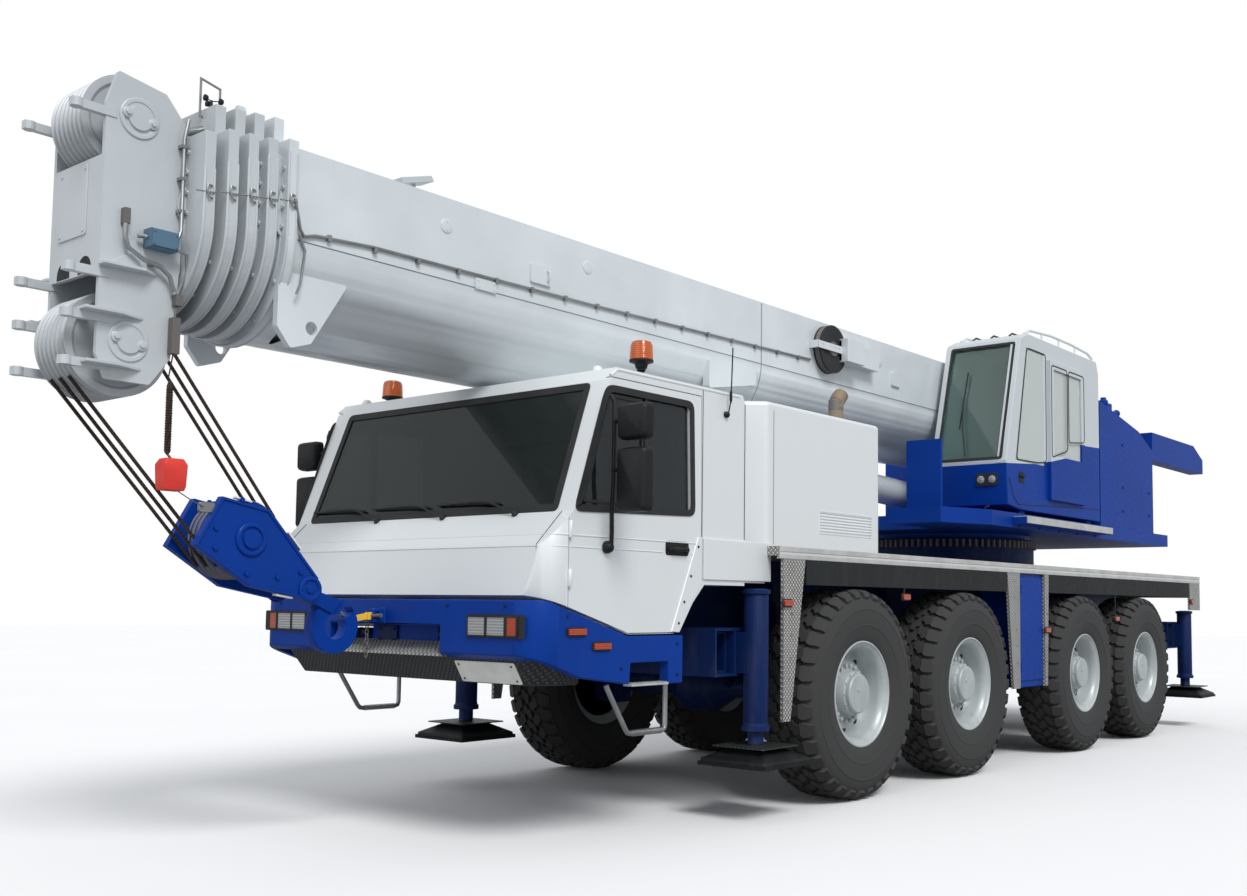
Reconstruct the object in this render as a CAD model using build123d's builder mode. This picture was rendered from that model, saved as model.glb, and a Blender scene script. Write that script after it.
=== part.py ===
"""Four-axle all-terrain mobile crane, stowed for the road.

Frame: +X forward, +Y left, +Z up, origin on the ground under the middle of the crane. Millimetres.
"""
import math
import os

from build123d import *

os.makedirs("parts", exist_ok=True)

# Running gear
axle_1_x = 1620
spacing_12 = 1650
spacing_23 = 2400
spacing_34 = 1650
tyre_radius = 725
tyre_width = 440
wheel_y = 1205
kingpin_y = 1000
rim_radius = 360
bead_radius = 318
hub_radius = 150
spindle_radius = 62
running_gap = 0.3

# Carrier frame and deck
girder_half = 450
girder_bottom = 1000
deck_top = 1710
deck_thick = 60
deck_half = 1360
deck_rear = -6070
deck_front = 2590
skirt_bottom = 1465
skirt_thick = 25

# Outriggers
beam_front_x = 2690
beam_rear_x = -5830
beam_stagger = 200
beam_width = 170
beam_height = 260
beam_bottom = 900
beam_wall = 15
box_wall = 18
slide_gap = 6
jack_y = 1250
jack_radius = 80
jack_bore = 60
jack_bottom = 540
jack_top_front = 1430
jack_top_rear = 1310
rod_radius = 52
pad_size = 520
pad_bottom = 330

# Driver cab
cab_half = 1250
cab_rear = 2820
cab_nose = 4600
cab_roof = 2655
cab_corner = 190
cab_wall = 45
door_gap = 6
door_front = 4400
hinge_radius = 11
hinge_length = 90
hinge_y = cab_half + hinge_radius - 1
hinge_heights = (1420, 1680)

# Engine cover
cover_rear = 1120
cover_front = 2790
cover_outer_front = 2570
cover_top = 2660
cover_wall = 30
tunnel_half = 530
tunnel_top = 2240

# Slewing ring and superstructure
slew_x = -2380
ring_radius = 800
ring_top = 1990
platform_bottom = 2035
platform_thick = 130
platform_front = -200
pivot_x = -4830
pivot_z = 3000
cheek_inner = 480
cheek_thick = 30
cheek_rear = -5250
catwalk_outer = 1250
winch_x = -5780
winch_z = 2600

# Crane cab
crane_cab_inner = 530
crane_cab_outer = 1255
crane_cab_front = -1030
crane_cab_rear = -3230
crane_cab_floor = 2200
crane_cab_roof = 3820
crane_cab_wall = 35

# Boom
boom_half = 470
boom_axis_z = 3150
boom_top = 3620
boom_front = 5680
boom_rear = -5060
section_step = 45
section_wall = 10
collar_thick = 55
collar_pitch = 103
collar_tops = (3790, 3785, 3775, 3765, 3560)
section_count = 5
head_half = 250
head_sheave_radius = 250
lower_pin_x = 6340
lower_pin_z = 2530
upper_pin_x = 6330
upper_pin_z = 3600
upper_sheave_radius = 230
head_rear = 6100
lug_tip_x = 6650

# Luffing cylinder
luff_base_x = -3230
luff_base_z = 2320
luff_eye_x = 1770
luff_eye_z = 2545
barrel_radius = 130
barrel_length = 3600
luff_rod_radius = 80
luff_eye_radius = 105

# Hook block
block_x = 5600
block_z = 1640
block_sheave_radius = 200
hook_x = 5030
hook_z = 1230
hook_outer = 150
hook_inner = 72
hook_half = 38

axles = (
    axle_1_x,
    axle_1_x - spacing_12,
    axle_1_x - spacing_12 - spacing_23,
    axle_1_x - spacing_12 - spacing_23 - spacing_34,
)
hub_z = tyre_radius
platform_top = platform_bottom + platform_thick
sides = (("left", 1), ("right", -1))


def block(x, y, z, mode=Mode.ADD):
    """Box between the two values given for each axis, in the part being built."""
    with Locations(((x[0] + x[1]) / 2, (y[0] + y[1]) / 2, (z[0] + z[1]) / 2)):
        Box(abs(x[1] - x[0]), abs(y[1] - y[0]), abs(z[1] - z[0]), mode=mode)


def side_plate(outline, y_low, y_high, mode=Mode.ADD, radius=0):
    """Plate cut to an (x, z) outline, its corners rounded by the given radius."""
    with BuildSketch(Plane.XZ.offset(-y_high)) as profile:
        with BuildLine():
            Polyline(*outline, close=True)
        make_face()
        if radius:
            fillet(profile.vertices(), radius)
    extrude(profile.sketch, amount=y_high - y_low, mode=mode)


def turned(x, z, profile, mode=Mode.ADD):
    """Solid of revolution about the cross axis through (x, z), from an outline of (radius, y) points."""
    with BuildSketch(Plane(origin=(x, 0, z), x_dir=(0, 0, 1), z_dir=(-1, 0, 0))) as half_section:
        with BuildLine():
            Polyline(*profile, close=True)
        make_face()
    revolve(half_section.sketch, axis=Axis((x, 0, z), (0, 1, 0)), mode=mode)


def plan_plate(outline, z_low, z_high, mode=Mode.ADD):
    """Plate with an outline given as (x, y) points, between two z values."""
    with BuildSketch(Plane.XY.offset(z_low)) as profile:
        with BuildLine():
            Polyline(*outline, close=True)
        make_face()
    extrude(profile.sketch, amount=z_high - z_low, mode=mode)


def bar(start, end, radius, mode=Mode.ADD):
    """Round bar between two points."""
    run = Vector(*end) - Vector(*start)
    with BuildSketch(Plane(origin=start, z_dir=run)) as profile:
        Circle(radius)
    extrude(profile.sketch, amount=run.length, mode=mode)


def cross_bar(x, z, y_low, y_high, radius, mode=Mode.ADD):
    """Round bar along Y."""
    bar((x, y_low, z), (x, y_high, z), radius, mode=mode)


def save(part_builder, name):
    """Label a finished piece and write it."""
    part_builder.part.label = name
    export_step(part_builder.part, f"parts/{name}.step")


# Carrier frame: girder, outrigger boxes, slewing-ring base and axle hangers
box_half = jack_y - jack_radius - 10


def outrigger_box(left_x):
    """Cross box with one cavity for each of the two beams, which lie side by side."""
    front = max(left_x, left_x + beam_stagger) + beam_width / 2 + slide_gap + box_wall
    rear = min(left_x, left_x + beam_stagger) - beam_width / 2 - slide_gap - box_wall
    low = beam_bottom - running_gap - box_wall
    high = beam_bottom + beam_height + slide_gap + box_wall
    block((rear, front), (-box_half, box_half), (low, high))
    for x in (left_x, left_x + beam_stagger):
        half = beam_width / 2 + slide_gap
        block((x - half, x + half), (-box_half - 1, box_half + 1),
              (low + box_wall, high - box_wall), mode=Mode.SUBTRACT)


box_span = beam_width / 2 + slide_gap + box_wall
girder_front = beam_front_x - box_span
girder_rear = beam_rear_x + beam_stagger + box_span
frame_nose = 4240
cab_step_z = 1160
with BuildPart() as carrier_frame:
    block((girder_rear, girder_front), (-girder_half, girder_half), (girder_bottom, deck_top - deck_thick))
    block((beam_front_x + beam_stagger + box_span - 1, frame_nose), (-400, 400), (900, cab_step_z - running_gap))
    outrigger_box(beam_front_x)
    outrigger_box(beam_rear_x)
    block((deck_rear + 40, girder_rear + 1), (-girder_half, girder_half), (1184, deck_top - deck_thick))
    block((girder_front - 1, girder_front + 200), (-girder_half, girder_half), (1184, deck_top - deck_thick))
    with Locations((slew_x, 0, (deck_top - deck_thick + ring_top) / 2)):
        Cylinder(ring_radius + 40, ring_top - deck_top + deck_thick)
        Cylinder(ring_radius - 90, ring_top - deck_top + deck_thick + 2, mode=Mode.SUBTRACT)
    for axle in axles:
        for side in (-1, 1):
            block((axle - 110, axle + 110), (side * girder_half, side * 700), (1350, deck_top - deck_thick))
            block((axle + 600, axle + 700), sorted((side * 250, side * 350)), (900, girder_bottom + 1))
save(carrier_frame, "carrier_frame")

# Axle beams: tube, differential housing, kingpin yokes, suspension cylinders and links
yoke_inner = 860
diff_radius = 200
yoke_arm = (130, 175)
with BuildPart() as axle_beams:
    for axle in axles:
        cross_bar(axle, hub_z, -yoke_inner, yoke_inner, 85)
        turned(axle, hub_z, [(0, -300), (84, -300), (diff_radius, -110), (diff_radius, 110), (84, 300), (0, 300)])
        for side in (-1, 1):
            y_face = sorted((side * (yoke_inner - 60), side * yoke_inner))
            block((axle - 70, axle + 70), y_face, (hub_z - yoke_arm[1], hub_z + yoke_arm[1]))
            y_arm = sorted((side * (yoke_inner - 1), side * (kingpin_y + 60)))
            for z_low, z_high in (yoke_arm, (-yoke_arm[1], -yoke_arm[0])):
                block((axle - 65, axle + 65), y_arm, (hub_z + z_low, hub_z + z_high))
            bar((axle, side * 600, hub_z), (axle, side * 600, 1350 - running_gap), 62)
            bar((axle, side * 300, hub_z), (axle + 575, side * 300, 940), 38)
            block((axle + 560, axle + 600 - running_gap), sorted((side * 260, side * 340)), (905, 980))
            with Locations((axle, side * kingpin_y, hub_z)):
                Cylinder(36 + running_gap, 2 * yoke_arm[1] + 2, mode=Mode.SUBTRACT)
save(axle_beams, "axle_beams")

# Knuckles and wheels: each wheel is one turned profile of tyre, rim well, dished disc and planetary hub
tyre_half = tyre_width / 2
well_radius = bead_radius - 18
bore_radius = spindle_radius + running_gap
hub_face = 165
wheel_profile = [
    (0, 62), (bore_radius, 62), (bore_radius, -60), (hub_radius, -60), (hub_radius, 30), (well_radius - 15, 5),
    (well_radius, -140), (bead_radius, -150), (rim_radius, -190), (520, -tyre_half), (645, 15 - tyre_half),
    (tyre_radius - 12, 55 - tyre_half), (tyre_radius, 100 - tyre_half), (tyre_radius, tyre_half - 100),
    (tyre_radius - 12, tyre_half - 55), (645, tyre_half - 15), (520, tyre_half), (rim_radius, 190),
    (rim_radius - 12, 178), (bead_radius, 150), (well_radius, 138), (well_radius, 45), (hub_radius + 20, 80),
    (hub_radius, 85), (hub_radius, hub_face - 20), (hub_radius - 25, hub_face), (0, hub_face),
]
for number, axle in enumerate(axles, start=1):
    for side_name, side in sides:
        y_hub = side * kingpin_y
        with BuildPart() as knuckle:
            block((axle - 75, axle + 75), sorted((y_hub - side * 45, y_hub + side * 60)),
                  (hub_z - yoke_arm[0] + 5, hub_z + yoke_arm[0] - 5))
            bar((axle, y_hub, hub_z - yoke_arm[1]), (axle, y_hub, hub_z + yoke_arm[1]), 36)
            cross_bar(axle, hub_z, *sorted((y_hub, side * (wheel_y + 60))), spindle_radius)
        save(knuckle, f"knuckle_{number}_{side_name}")

        with BuildPart() as wheel:
            turned(axle, hub_z, [(radius, side * (wheel_y + y)) for radius, y in wheel_profile])
        save(wheel, f"wheel_{number}_{side_name}")

# Deck with its edge sill and the checker-plate strips that taper down between the wheels
strip_y = (deck_half - 25, deck_half)
strips = (
    [(2290, 1631), (2460, 590), (2540, 590), (2540, 1631)],
    [(-810, 1631), (-920, 640), (-1055, 640), (-1055, 1631)],
    [(-1585, 1631), (-1585, 640), (-1640, 640), (-1675, 1631)],
    [(-5700, 1631), (-5700, 1320), (-6070, 1320), (-6070, 1631)],
)
with BuildPart() as deck:
    block((deck_rear, deck_front), (-deck_half, deck_half), (deck_top - deck_thick, deck_top))
    for side in (-1, 1):
        block((deck_rear, deck_front), sorted((side * (deck_half - 20), side * deck_half)), (1630, deck_top))
        for strip in strips:
            side_plate(strip, *sorted((side * strip_y[0], side * strip_y[1])))
    block((deck_rear, deck_rear + 25), (-deck_half, deck_half), (skirt_bottom, deck_top - deck_thick + 1))
    with Locations((slew_x, 0, deck_top)):
        Cylinder(ring_radius + 40, 4 * deck_thick, mode=Mode.SUBTRACT)
save(deck, "deck")

# Skirts hanging from the deck edge
skirt_y = (deck_half - skirt_thick, deck_half)
with BuildPart() as side_skirts:
    for side in (-1, 1):
        for x_range in ((-800, 2280), (-5680, -1680)):
            block(x_range, sorted((side * skirt_y[0], side * skirt_y[1])), (skirt_bottom, 1630 - running_gap))
save(side_skirts, "side_skirts")

# Lockers between wheels 2 and 3
with BuildPart() as lockers:
    for side in (-1, 1):
        block((-1580, -1060), sorted((side * 1000, side * (strip_y[0] - running_gap))),
              (640, deck_top - deck_thick - running_gap))
save(lockers, "lockers")

# Driver cab: one outer form, hollowed, then split into shell and doors
cab_outline = [
    (4600, 1370), (4560, 1640), (4370, 1830), (4094, 2580), (4040, cab_roof), (2850, cab_roof),
    (cab_rear, 2600), (cab_rear, 1450), (3230, 1450), (3520, 1160), (3920, 1160), (4400, 1310),
]
door_outline = [
    (door_front, 1310), (door_front, 1790), (4385, 1822), (4135, 2500), (4090, 2590), (3275, 2590),
    (3265, 1750), (3520, 1168), (3918, 1168),
]


def cab_body(inset):
    """Cab form, drawn in from the outer skin by the given inset."""
    with BuildSketch(Plane.XZ.offset(-(cab_half - inset))) as cab_side:
        with BuildLine():
            Polyline(*cab_outline, close=True)
        make_face()
        if inset:
            offset(amount=-inset, kind=Kind.INTERSECTION, mode=Mode.REPLACE)
    extrude(cab_side.sketch, amount=2 * (cab_half - inset))
    with BuildSketch(Plane.XY.offset(1000)) as cab_plan:
        with Locations(((cab_rear + cab_nose) / 2, 0)):
            Rectangle(cab_nose - cab_rear + 10, 2 * (cab_half - inset))
        fillet(cab_plan.vertices().group_by(Axis.X)[-1], cab_corner - inset / 2)
    extrude(cab_plan.sketch, amount=2000, mode=Mode.INTERSECT)


def door_prism(grow, side):
    """Door-shaped plug through one cab side, grown all round by a gap."""
    y_low, y_high = sorted((side * (cab_half - cab_wall - 0.5), side * (cab_half + 5)))
    with BuildSketch(Plane.XZ.offset(-y_high)) as plug:
        with BuildLine():
            Polyline(*door_outline, close=True)
        make_face()
        if grow:
            offset(amount=grow, kind=Kind.INTERSECTION, mode=Mode.REPLACE)
    extrude(plug.sketch, amount=y_high - y_low)


with BuildPart() as cab_form:
    cab_body(0)
with BuildPart() as cab_room:
    cab_body(cab_wall)
door_window = [(4340, 1860), (4120, 2480), (4080, 2520), (3390, 2520), (3370, 1890)]
windshield_half = 1095


def windshield_prism(inset, mode):
    """Windshield-shaped plug along X, drawn in by the given inset."""
    with BuildSketch(Plane.YZ.offset(4000)) as opening:
        with BuildLine():
            Polyline((-windshield_half, 1850), (windshield_half, 1850), (windshield_half - 20, 2545),
                     (-windshield_half + 20, 2545), close=True)
        make_face()
        if inset:
            offset(amount=-inset, kind=Kind.INTERSECTION, mode=Mode.REPLACE)
    extrude(opening.sketch, amount=700, mode=mode)


def rear_prism(inset, mode):
    """Rear-window plug along X, drawn in by the given inset."""
    block((cab_rear - 10, cab_rear + cab_wall + 10), (-900 + inset, 900 - inset), (1950 + inset, 2480 - inset),
          mode=mode)


with BuildPart() as cab_shell:
    add(cab_form.part)
    add(cab_room.part, mode=Mode.SUBTRACT)
    for side in (-1, 1):
        with BuildPart(mode=Mode.PRIVATE) as door_plug:
            door_prism(door_gap, side)
        add(door_plug.part, mode=Mode.SUBTRACT)
    windshield_prism(0, Mode.SUBTRACT)
    rear_prism(0, Mode.SUBTRACT)
    for side in (-1, 1):
        block((2600, cab_rear + 5), sorted((side * (cab_half - 45), side * cab_half)), (1470, 1700))
save(cab_shell, "cab_shell")

for side_name, side in sides:
    with BuildPart() as door_plug:
        door_prism(0, side)
    with BuildPart() as cab_door:
        add(cab_form.part)
        add(cab_room.part, mode=Mode.SUBTRACT)
        add(door_plug.part, mode=Mode.INTERSECT)
        side_plate(door_window, *sorted((side * 1100, side * 1300)), mode=Mode.SUBTRACT)
        for z in hinge_heights:
            bar((door_front, side * hinge_y, z), (door_front, side * hinge_y, z + hinge_length), hinge_radius)
    save(cab_door, f"cab_door_{side_name}")

    with BuildPart() as mirror:
        y_arm = side * (cab_half + 40)
        y_head = side * (cab_half + 230)
        bar((4110, side * (cab_half + running_gap), 1640), (4110, y_arm, 1640), 35)
        bar((4110, y_arm, 1640), (4120, y_arm, 2480), 13)
        bar((4120, y_arm, 2060), (4150, y_head, 2060), 12)
        bar((4120, y_arm, 2330), (4150, y_head, 2330), 12)
        block((4110, 4190), sorted((y_head - 110, y_head + 110)), (1820, 2180))
        block((4110, 4190), sorted((y_head - 110, y_head + 110)), (2215, 2420))
    save(mirror, f"mirror_{side_name}")

# Cab glass: windshield and rear pane, seated in their openings
glass_thick = 8
with BuildPart() as windshield:
    side_plate([(4398, 1750), (4390, 1747), (4060, 2637), (4068, 2640)], -1250, 1250)
    windshield_prism(running_gap, Mode.INTERSECT)
with BuildPart() as cab_glass:
    add(windshield.part)
    block((cab_rear + 18, cab_rear + 18 + glass_thick), (-900 + running_gap, 900 - running_gap),
          (1950 + running_gap, 2480 - running_gap))
save(cab_glass, "cab_glass")

# Cab interior: dash, seats and steering wheel
cab_floor = 1450 + cab_wall
with BuildPart() as cab_interior:
    block((cab_rear + cab_wall + 60, 4290), (-1150, 1150), (cab_floor + running_gap, cab_floor + 60))
    block((4140, 4290), (-1080, 1080), (cab_floor + 59, 1800))
    for side in (-1, 1):
        y_seat = side * 640
        block((3150, 3650), (y_seat - 250, y_seat + 250), (cab_floor + 59, 1900))
        side_plate([(3150, 1899), (3270, 1899), (3130, 2430), (3020, 2430)], y_seat - 230, y_seat + 230)
    bar((4150, 640, 1780), (3960, 640, 2000), 30)
    with Locations(Location((3960, 640, 2000), (0, -49, 0))):
        Cylinder(232, 26)
        Cylinder(200, 30, mode=Mode.SUBTRACT)
        Box(410, 60, 32)
save(cab_interior, "cab_interior")

# Front bumper: wrap-around beam cut to its side outline, with a recessed middle
bumper_outline = [
    (4640, 1345), (4560, 1345), (3920, 1150), (3430, 1150), (3430, 870), (3560, 870), (3560, 1000),
    (3890, 1000), (3900, 880), (4300, 930), (4640, 1050),
]
tow_eye_x = 4690
with BuildPart() as front_bumper:
    side_plate(bumper_outline, -cab_half, cab_half)
    with BuildSketch(Plane.XY.offset(800)) as bumper_plan:
        with Locations((3900, 0)):
            Rectangle(1480, 2 * cab_half)
        fillet(bumper_plan.vertices().group_by(Axis.X)[-1], 170)
        with Locations((3860, 0)):
            Rectangle(1400, 2 * cab_half - 140, mode=Mode.SUBTRACT)
    extrude(amount=600, mode=Mode.INTERSECT)
    block((frame_nose, 4562), (-300, 300), (1060, 1230))
    block((4480, 4700), (-500, 500), (1000, 1200), mode=Mode.SUBTRACT)
    side_plate([(4590, 1210), (tow_eye_x + 35, 1210), (tow_eye_x + 35, 1290), (4590, 1290)], -20, 20)
    cross_bar(tow_eye_x, 1250, -21, 21, 18, mode=Mode.SUBTRACT)
save(front_bumper, "front_bumper")

# Checker skirt below the bumper, with the step loops
with BuildPart() as front_steps:
    side_plate([(4560, 1049 - running_gap), (4300, 929), (4250, 890), (4540, 990)], -1150, 1150)
    for side in (-1, 1):
        y_step = side * (cab_half - 35)
        bar((4066, y_step, 889), (3870, y_step, 600), 16)
        bar((3875, y_step, 605), (3545, y_step, 605), 16)
        bar((3545, y_step, 600), (3545, y_step, 870 - running_gap), 16)
save(front_steps, "front_steps")

# Lamps: headlamps, markers and the two beacons
with BuildPart() as lamps:
    for side in (-1, 1):
        block((4640 + running_gap, 4655), sorted((side * 730, side * 1060)), (1150, 1260))
        beacon = (3720, side * 1150)
        bar((*beacon, cab_roof + running_gap), (*beacon, cab_roof + 95), 30)
        bar((*beacon, cab_roof + 90), (*beacon, cab_roof + 120), 78)
        bar((*beacon, cab_roof + 119), (*beacon, cab_roof + 215), 66)
        block((deck_rear - 40, deck_rear - running_gap), sorted((side * 900, side * 1250)), (1500, 1620))
save(lamps, "lamps")

# Engine cover: two high sides and a low middle under the boom, open below
cover_plan = [(cover_rear, -1250), (cover_outer_front, -1250), (cover_front, -1000), (cover_front, 1000),
              (cover_outer_front, 1250), (cover_rear, 1250)]
with BuildPart() as engine_cover:
    plan_plate(cover_plan, deck_top, cover_top)
    fillet(engine_cover.edges().filter_by(Axis.Z), 60)
    fillet(engine_cover.edges().group_by(Axis.Z)[-1], cover_wall)
    for side in (-1, 1):
        block((1260, 1950), sorted((side * 1244, side * 1251)), (1830, 1975), mode=Mode.SUBTRACT)
    block((cover_rear - 1, cover_front + 1), (-tunnel_half, tunnel_half), (tunnel_top, cover_top + 1),
          mode=Mode.SUBTRACT)
    block((cover_rear + cover_wall, 2500), (-1220, -tunnel_half - cover_wall), (deck_top - 1, cover_top - cover_wall),
          mode=Mode.SUBTRACT)
    block((cover_rear + cover_wall, 2500), (tunnel_half + cover_wall, 1220), (deck_top - 1, cover_top - cover_wall),
          mode=Mode.SUBTRACT)
    block((cover_rear + cover_wall, cover_front - cover_wall), (-1000, 1000), (deck_top - 1, tunnel_top - cover_wall),
          mode=Mode.SUBTRACT)
save(engine_cover, "engine_cover")

# Engine block standing on the deck, and the exhaust stack through the cover
with BuildPart() as engine:
    block((1400, 2500), (-380, 380), (deck_top, 2180))
    bar((1270, 950, cover_top + running_gap), (1270, 950, 2860), 55)
    bar((1270, 950, 2840), (1190, 950, 2915), 55)
save(engine, "engine")

# Outrigger beams and jacks
for end_name, left_x, jack_top in (("front", beam_front_x, jack_top_front), ("rear", beam_rear_x, jack_top_rear)):
    for side_name, side in sides:
        x = left_x if side > 0 else left_x + beam_stagger
        half = beam_width / 2
        z_beam = (beam_bottom, beam_bottom + beam_height)
        y_in = -side * 1100
        with BuildPart() as beam:
            block((x - half, x + half), sorted((y_in, side * jack_y)), z_beam)
            block((x - half + beam_wall, x + half - beam_wall), sorted((y_in - side, side * (jack_y - 100))),
                  (z_beam[0] + beam_wall, z_beam[1] - beam_wall), mode=Mode.SUBTRACT)
            bar((x, side * jack_y, jack_bottom), (x, side * jack_y, jack_top), jack_radius)
            bar((x, side * jack_y, jack_bottom - 1), (x, side * jack_y, jack_top - 30), jack_bore, mode=Mode.SUBTRACT)
        save(beam, f"outrigger_beam_{end_name}_{side_name}")

        with BuildPart() as jack:
            block((x - pad_size / 2, x + pad_size / 2), sorted((side * (jack_y - pad_size / 2),
                  side * (jack_y + pad_size / 2))), (pad_bottom, pad_bottom + 25))
            bar((x, side * jack_y, pad_bottom + 20), (x, side * jack_y, jack_top - 60), rod_radius)
            bar((x, side * jack_y, jack_top - 200), (x, side * jack_y, jack_top - 60), jack_bore - running_gap)
            block((x - 110, x + 110), sorted((side * (jack_y - 60), side * (jack_y + 60))),
                  (pad_bottom + 24, pad_bottom + 110))
        save(jack, f"jack_{end_name}_{side_name}")

# Slewing platform: plate, boom cheeks, cylinder seat and catwalk
cheek_outline = [
    (cheek_rear, platform_top - 1), (cheek_rear, 2900), (-5050, 3230), (-4620, 3230), (-4300, 2900), (-3000, 2350),
    (-2900, platform_top - 1),
]
with BuildPart() as slew_platform:
    plan_plate([(-5300, -1250), (-1200, -1250), (-1200, -560), (-980, -560), (-980, 560), (platform_front, 560),
                (platform_front, 1050), (platform_front - 550, catwalk_outer), (-5300, catwalk_outer)],
               platform_bottom, platform_top)
    block((platform_front - 230, platform_front - 200), (620, 950), (platform_top - 1, 2760))
    block((platform_front - 560, platform_front - 200), (620, 650), (platform_top - 1, 2760))
    block((-3200, -1150), (catwalk_outer - 1, 1390), (2065, 2125))
    with Locations((slew_x, 0, ring_top + running_gap)):
        Cylinder(ring_radius, platform_bottom - ring_top, align=(Align.CENTER, Align.CENTER, Align.MIN))
    for side in (-1, 1):
        side_plate(cheek_outline, *sorted((side * cheek_inner, side * (cheek_inner + cheek_thick))))
        cross_bar(pivot_x, pivot_z, *sorted((side * cheek_inner, side * (cheek_inner + 60))), 120)
        side_plate([(luff_base_x - 170, platform_top - 1), (luff_base_x - 90, luff_base_z + 90),
                    (luff_base_x + 90, luff_base_z + 90), (luff_base_x + 170, platform_top - 1)],
                   *sorted((side * 125, side * 165)))
    cross_bar(pivot_x, pivot_z, -cheek_inner - 50, cheek_inner + 50, 80)
    cross_bar(luff_base_x, luff_base_z, -160, 160, 60)
    for x in (crane_cab_front - 450, crane_cab_rear + 150):
        block((x - 60, x + 60), (crane_cab_inner + 60, crane_cab_outer - 60),
              (platform_top - 1, crane_cab_floor - running_gap))
save(slew_platform, "slew_platform")

# Rear body: tank and cabinet on each side, with the ballast arms behind
with BuildPart() as rear_body:
    side_plate([(-3260, platform_top), (-3260, 3440), (-4400, 3250), (-4830, 3080), (-4830, 2850), (-4830, platform_top)],
               560, 1250)
    side_plate([(-3300, platform_top), (-3300, 2950), (-4300, 2950), (-4450, 3290), (-4830, 3290),
                (-4830, platform_top)], -1250, -560)
    for side in (-1, 1):
        side_plate([(-4829, 2980), (-6650, 2980), (-6650, 3150), (-6300, 3290), (-4829, 3290)],
                   *sorted((side * 1090, side * 1250)))
save(rear_body, "rear_body")

# Hoist winch on two plates that lie against the cheeks
winch_plate = 30
winch_lap = 180
winch_plate_outer = cheek_inner - running_gap
with BuildPart() as winch:
    cross_bar(winch_x, winch_z, -330, 330, 200)
    for side in (-1, 1):
        cross_bar(winch_x, winch_z, *sorted((side * 329, side * 350)), 285)
        side_plate([(winch_x - 120, winch_z - 80), (winch_x - 120, winch_z + 80), (winch_x + 120, winch_z + 80),
                    (cheek_rear + winch_lap, 2500), (cheek_rear + winch_lap, 2200)],
                   *sorted((side * (winch_plate_outer - winch_plate), side * winch_plate_outer)))
    cross_bar(winch_x, winch_z, -winch_plate_outer + 1, winch_plate_outer - 1, 60)
save(winch, "winch")

# Crane cab: hollow shell with windows, seat, glass and a sliding door
crane_cab_outline = [
    (crane_cab_front - 30, 2230), (crane_cab_front, 2620), (crane_cab_front - 330, crane_cab_roof - 60),
    (crane_cab_front - 480, crane_cab_roof), (crane_cab_rear + 60, crane_cab_roof), (crane_cab_rear, 3700),
    (crane_cab_rear, crane_cab_floor), (crane_cab_front - 300, crane_cab_floor),
]


def crane_cab_body(inset):
    """Crane cab form, drawn in from the skin by the given inset."""
    with BuildSketch(Plane.XZ.offset(-(crane_cab_outer - inset))) as cab_side:
        with BuildLine():
            Polyline(*crane_cab_outline, close=True)
        make_face()
        if inset:
            offset(amount=-inset, kind=Kind.INTERSECTION, mode=Mode.REPLACE)
    extrude(cab_side.sketch, amount=crane_cab_outer - crane_cab_inner - 2 * inset)


with BuildPart() as crane_cab_room:
    crane_cab_body(crane_cab_wall)
slide_door_x = (-2760, -1930)
slide_door_z = (2330, 3640)
front_pane = ((-1700, -900), (crane_cab_inner + 50, crane_cab_outer - 50), (2640, 3720))
side_pane = [(-1230, 2640), (-1480, 3680), (-1860, 3680), (-1860, 2640)]


def shrunk(span, inset):
    """Span drawn in at both ends."""
    return (span[0] + inset, span[1] - inset)


with BuildPart() as crane_cab_shell:
    crane_cab_body(0)
    add(crane_cab_room.part, mode=Mode.SUBTRACT)
    block(shrunk(slide_door_x, 40), (crane_cab_outer - 60, crane_cab_outer + 1), shrunk(slide_door_z, 40),
          mode=Mode.SUBTRACT)
    block(*front_pane, mode=Mode.SUBTRACT)
    side_plate(side_pane, crane_cab_outer - 60, crane_cab_outer + 1, mode=Mode.SUBTRACT)
save(crane_cab_shell, "crane_cab_shell")

with BuildPart() as crane_front_glass:
    side_plate([(crane_cab_front - 12, 2600), (crane_cab_front - 20, 2600), (crane_cab_front - 347, 3800),
                (crane_cab_front - 339, 3800)], crane_cab_inner, crane_cab_outer)
    block(front_pane[0], shrunk(front_pane[1], running_gap), shrunk(front_pane[2], running_gap), mode=Mode.INTERSECT)
with BuildPart() as crane_cab_glass:
    add(crane_front_glass.part)
    with BuildSketch(Plane.XZ.offset(-(crane_cab_outer - 14))) as side_glass:
        with BuildLine():
            Polyline(*side_pane, close=True)
        make_face()
        offset(amount=-running_gap, kind=Kind.INTERSECTION, mode=Mode.REPLACE)
    extrude(amount=glass_thick)
save(crane_cab_glass, "crane_cab_glass")

with BuildPart() as crane_cab_seat:
    seat_floor = crane_cab_floor + crane_cab_wall
    block((-2700, -2200), (660, 1120), (seat_floor + running_gap, 2650))
    side_plate([(-2700, 2649), (-2580, 2649), (-2720, 3260), (-2840, 3260)], 680, 1100)
save(crane_cab_seat, "crane_cab_seat")

with BuildPart() as crane_cab_door:
    block(slide_door_x, (crane_cab_outer + running_gap, crane_cab_outer + 36), slide_door_z)
    block((slide_door_x[0] + 80, slide_door_x[1] - 80), (crane_cab_outer, crane_cab_outer + 40),
          (2750, slide_door_z[1] - 80), mode=Mode.SUBTRACT)
save(crane_cab_door, "crane_cab_door")

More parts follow.
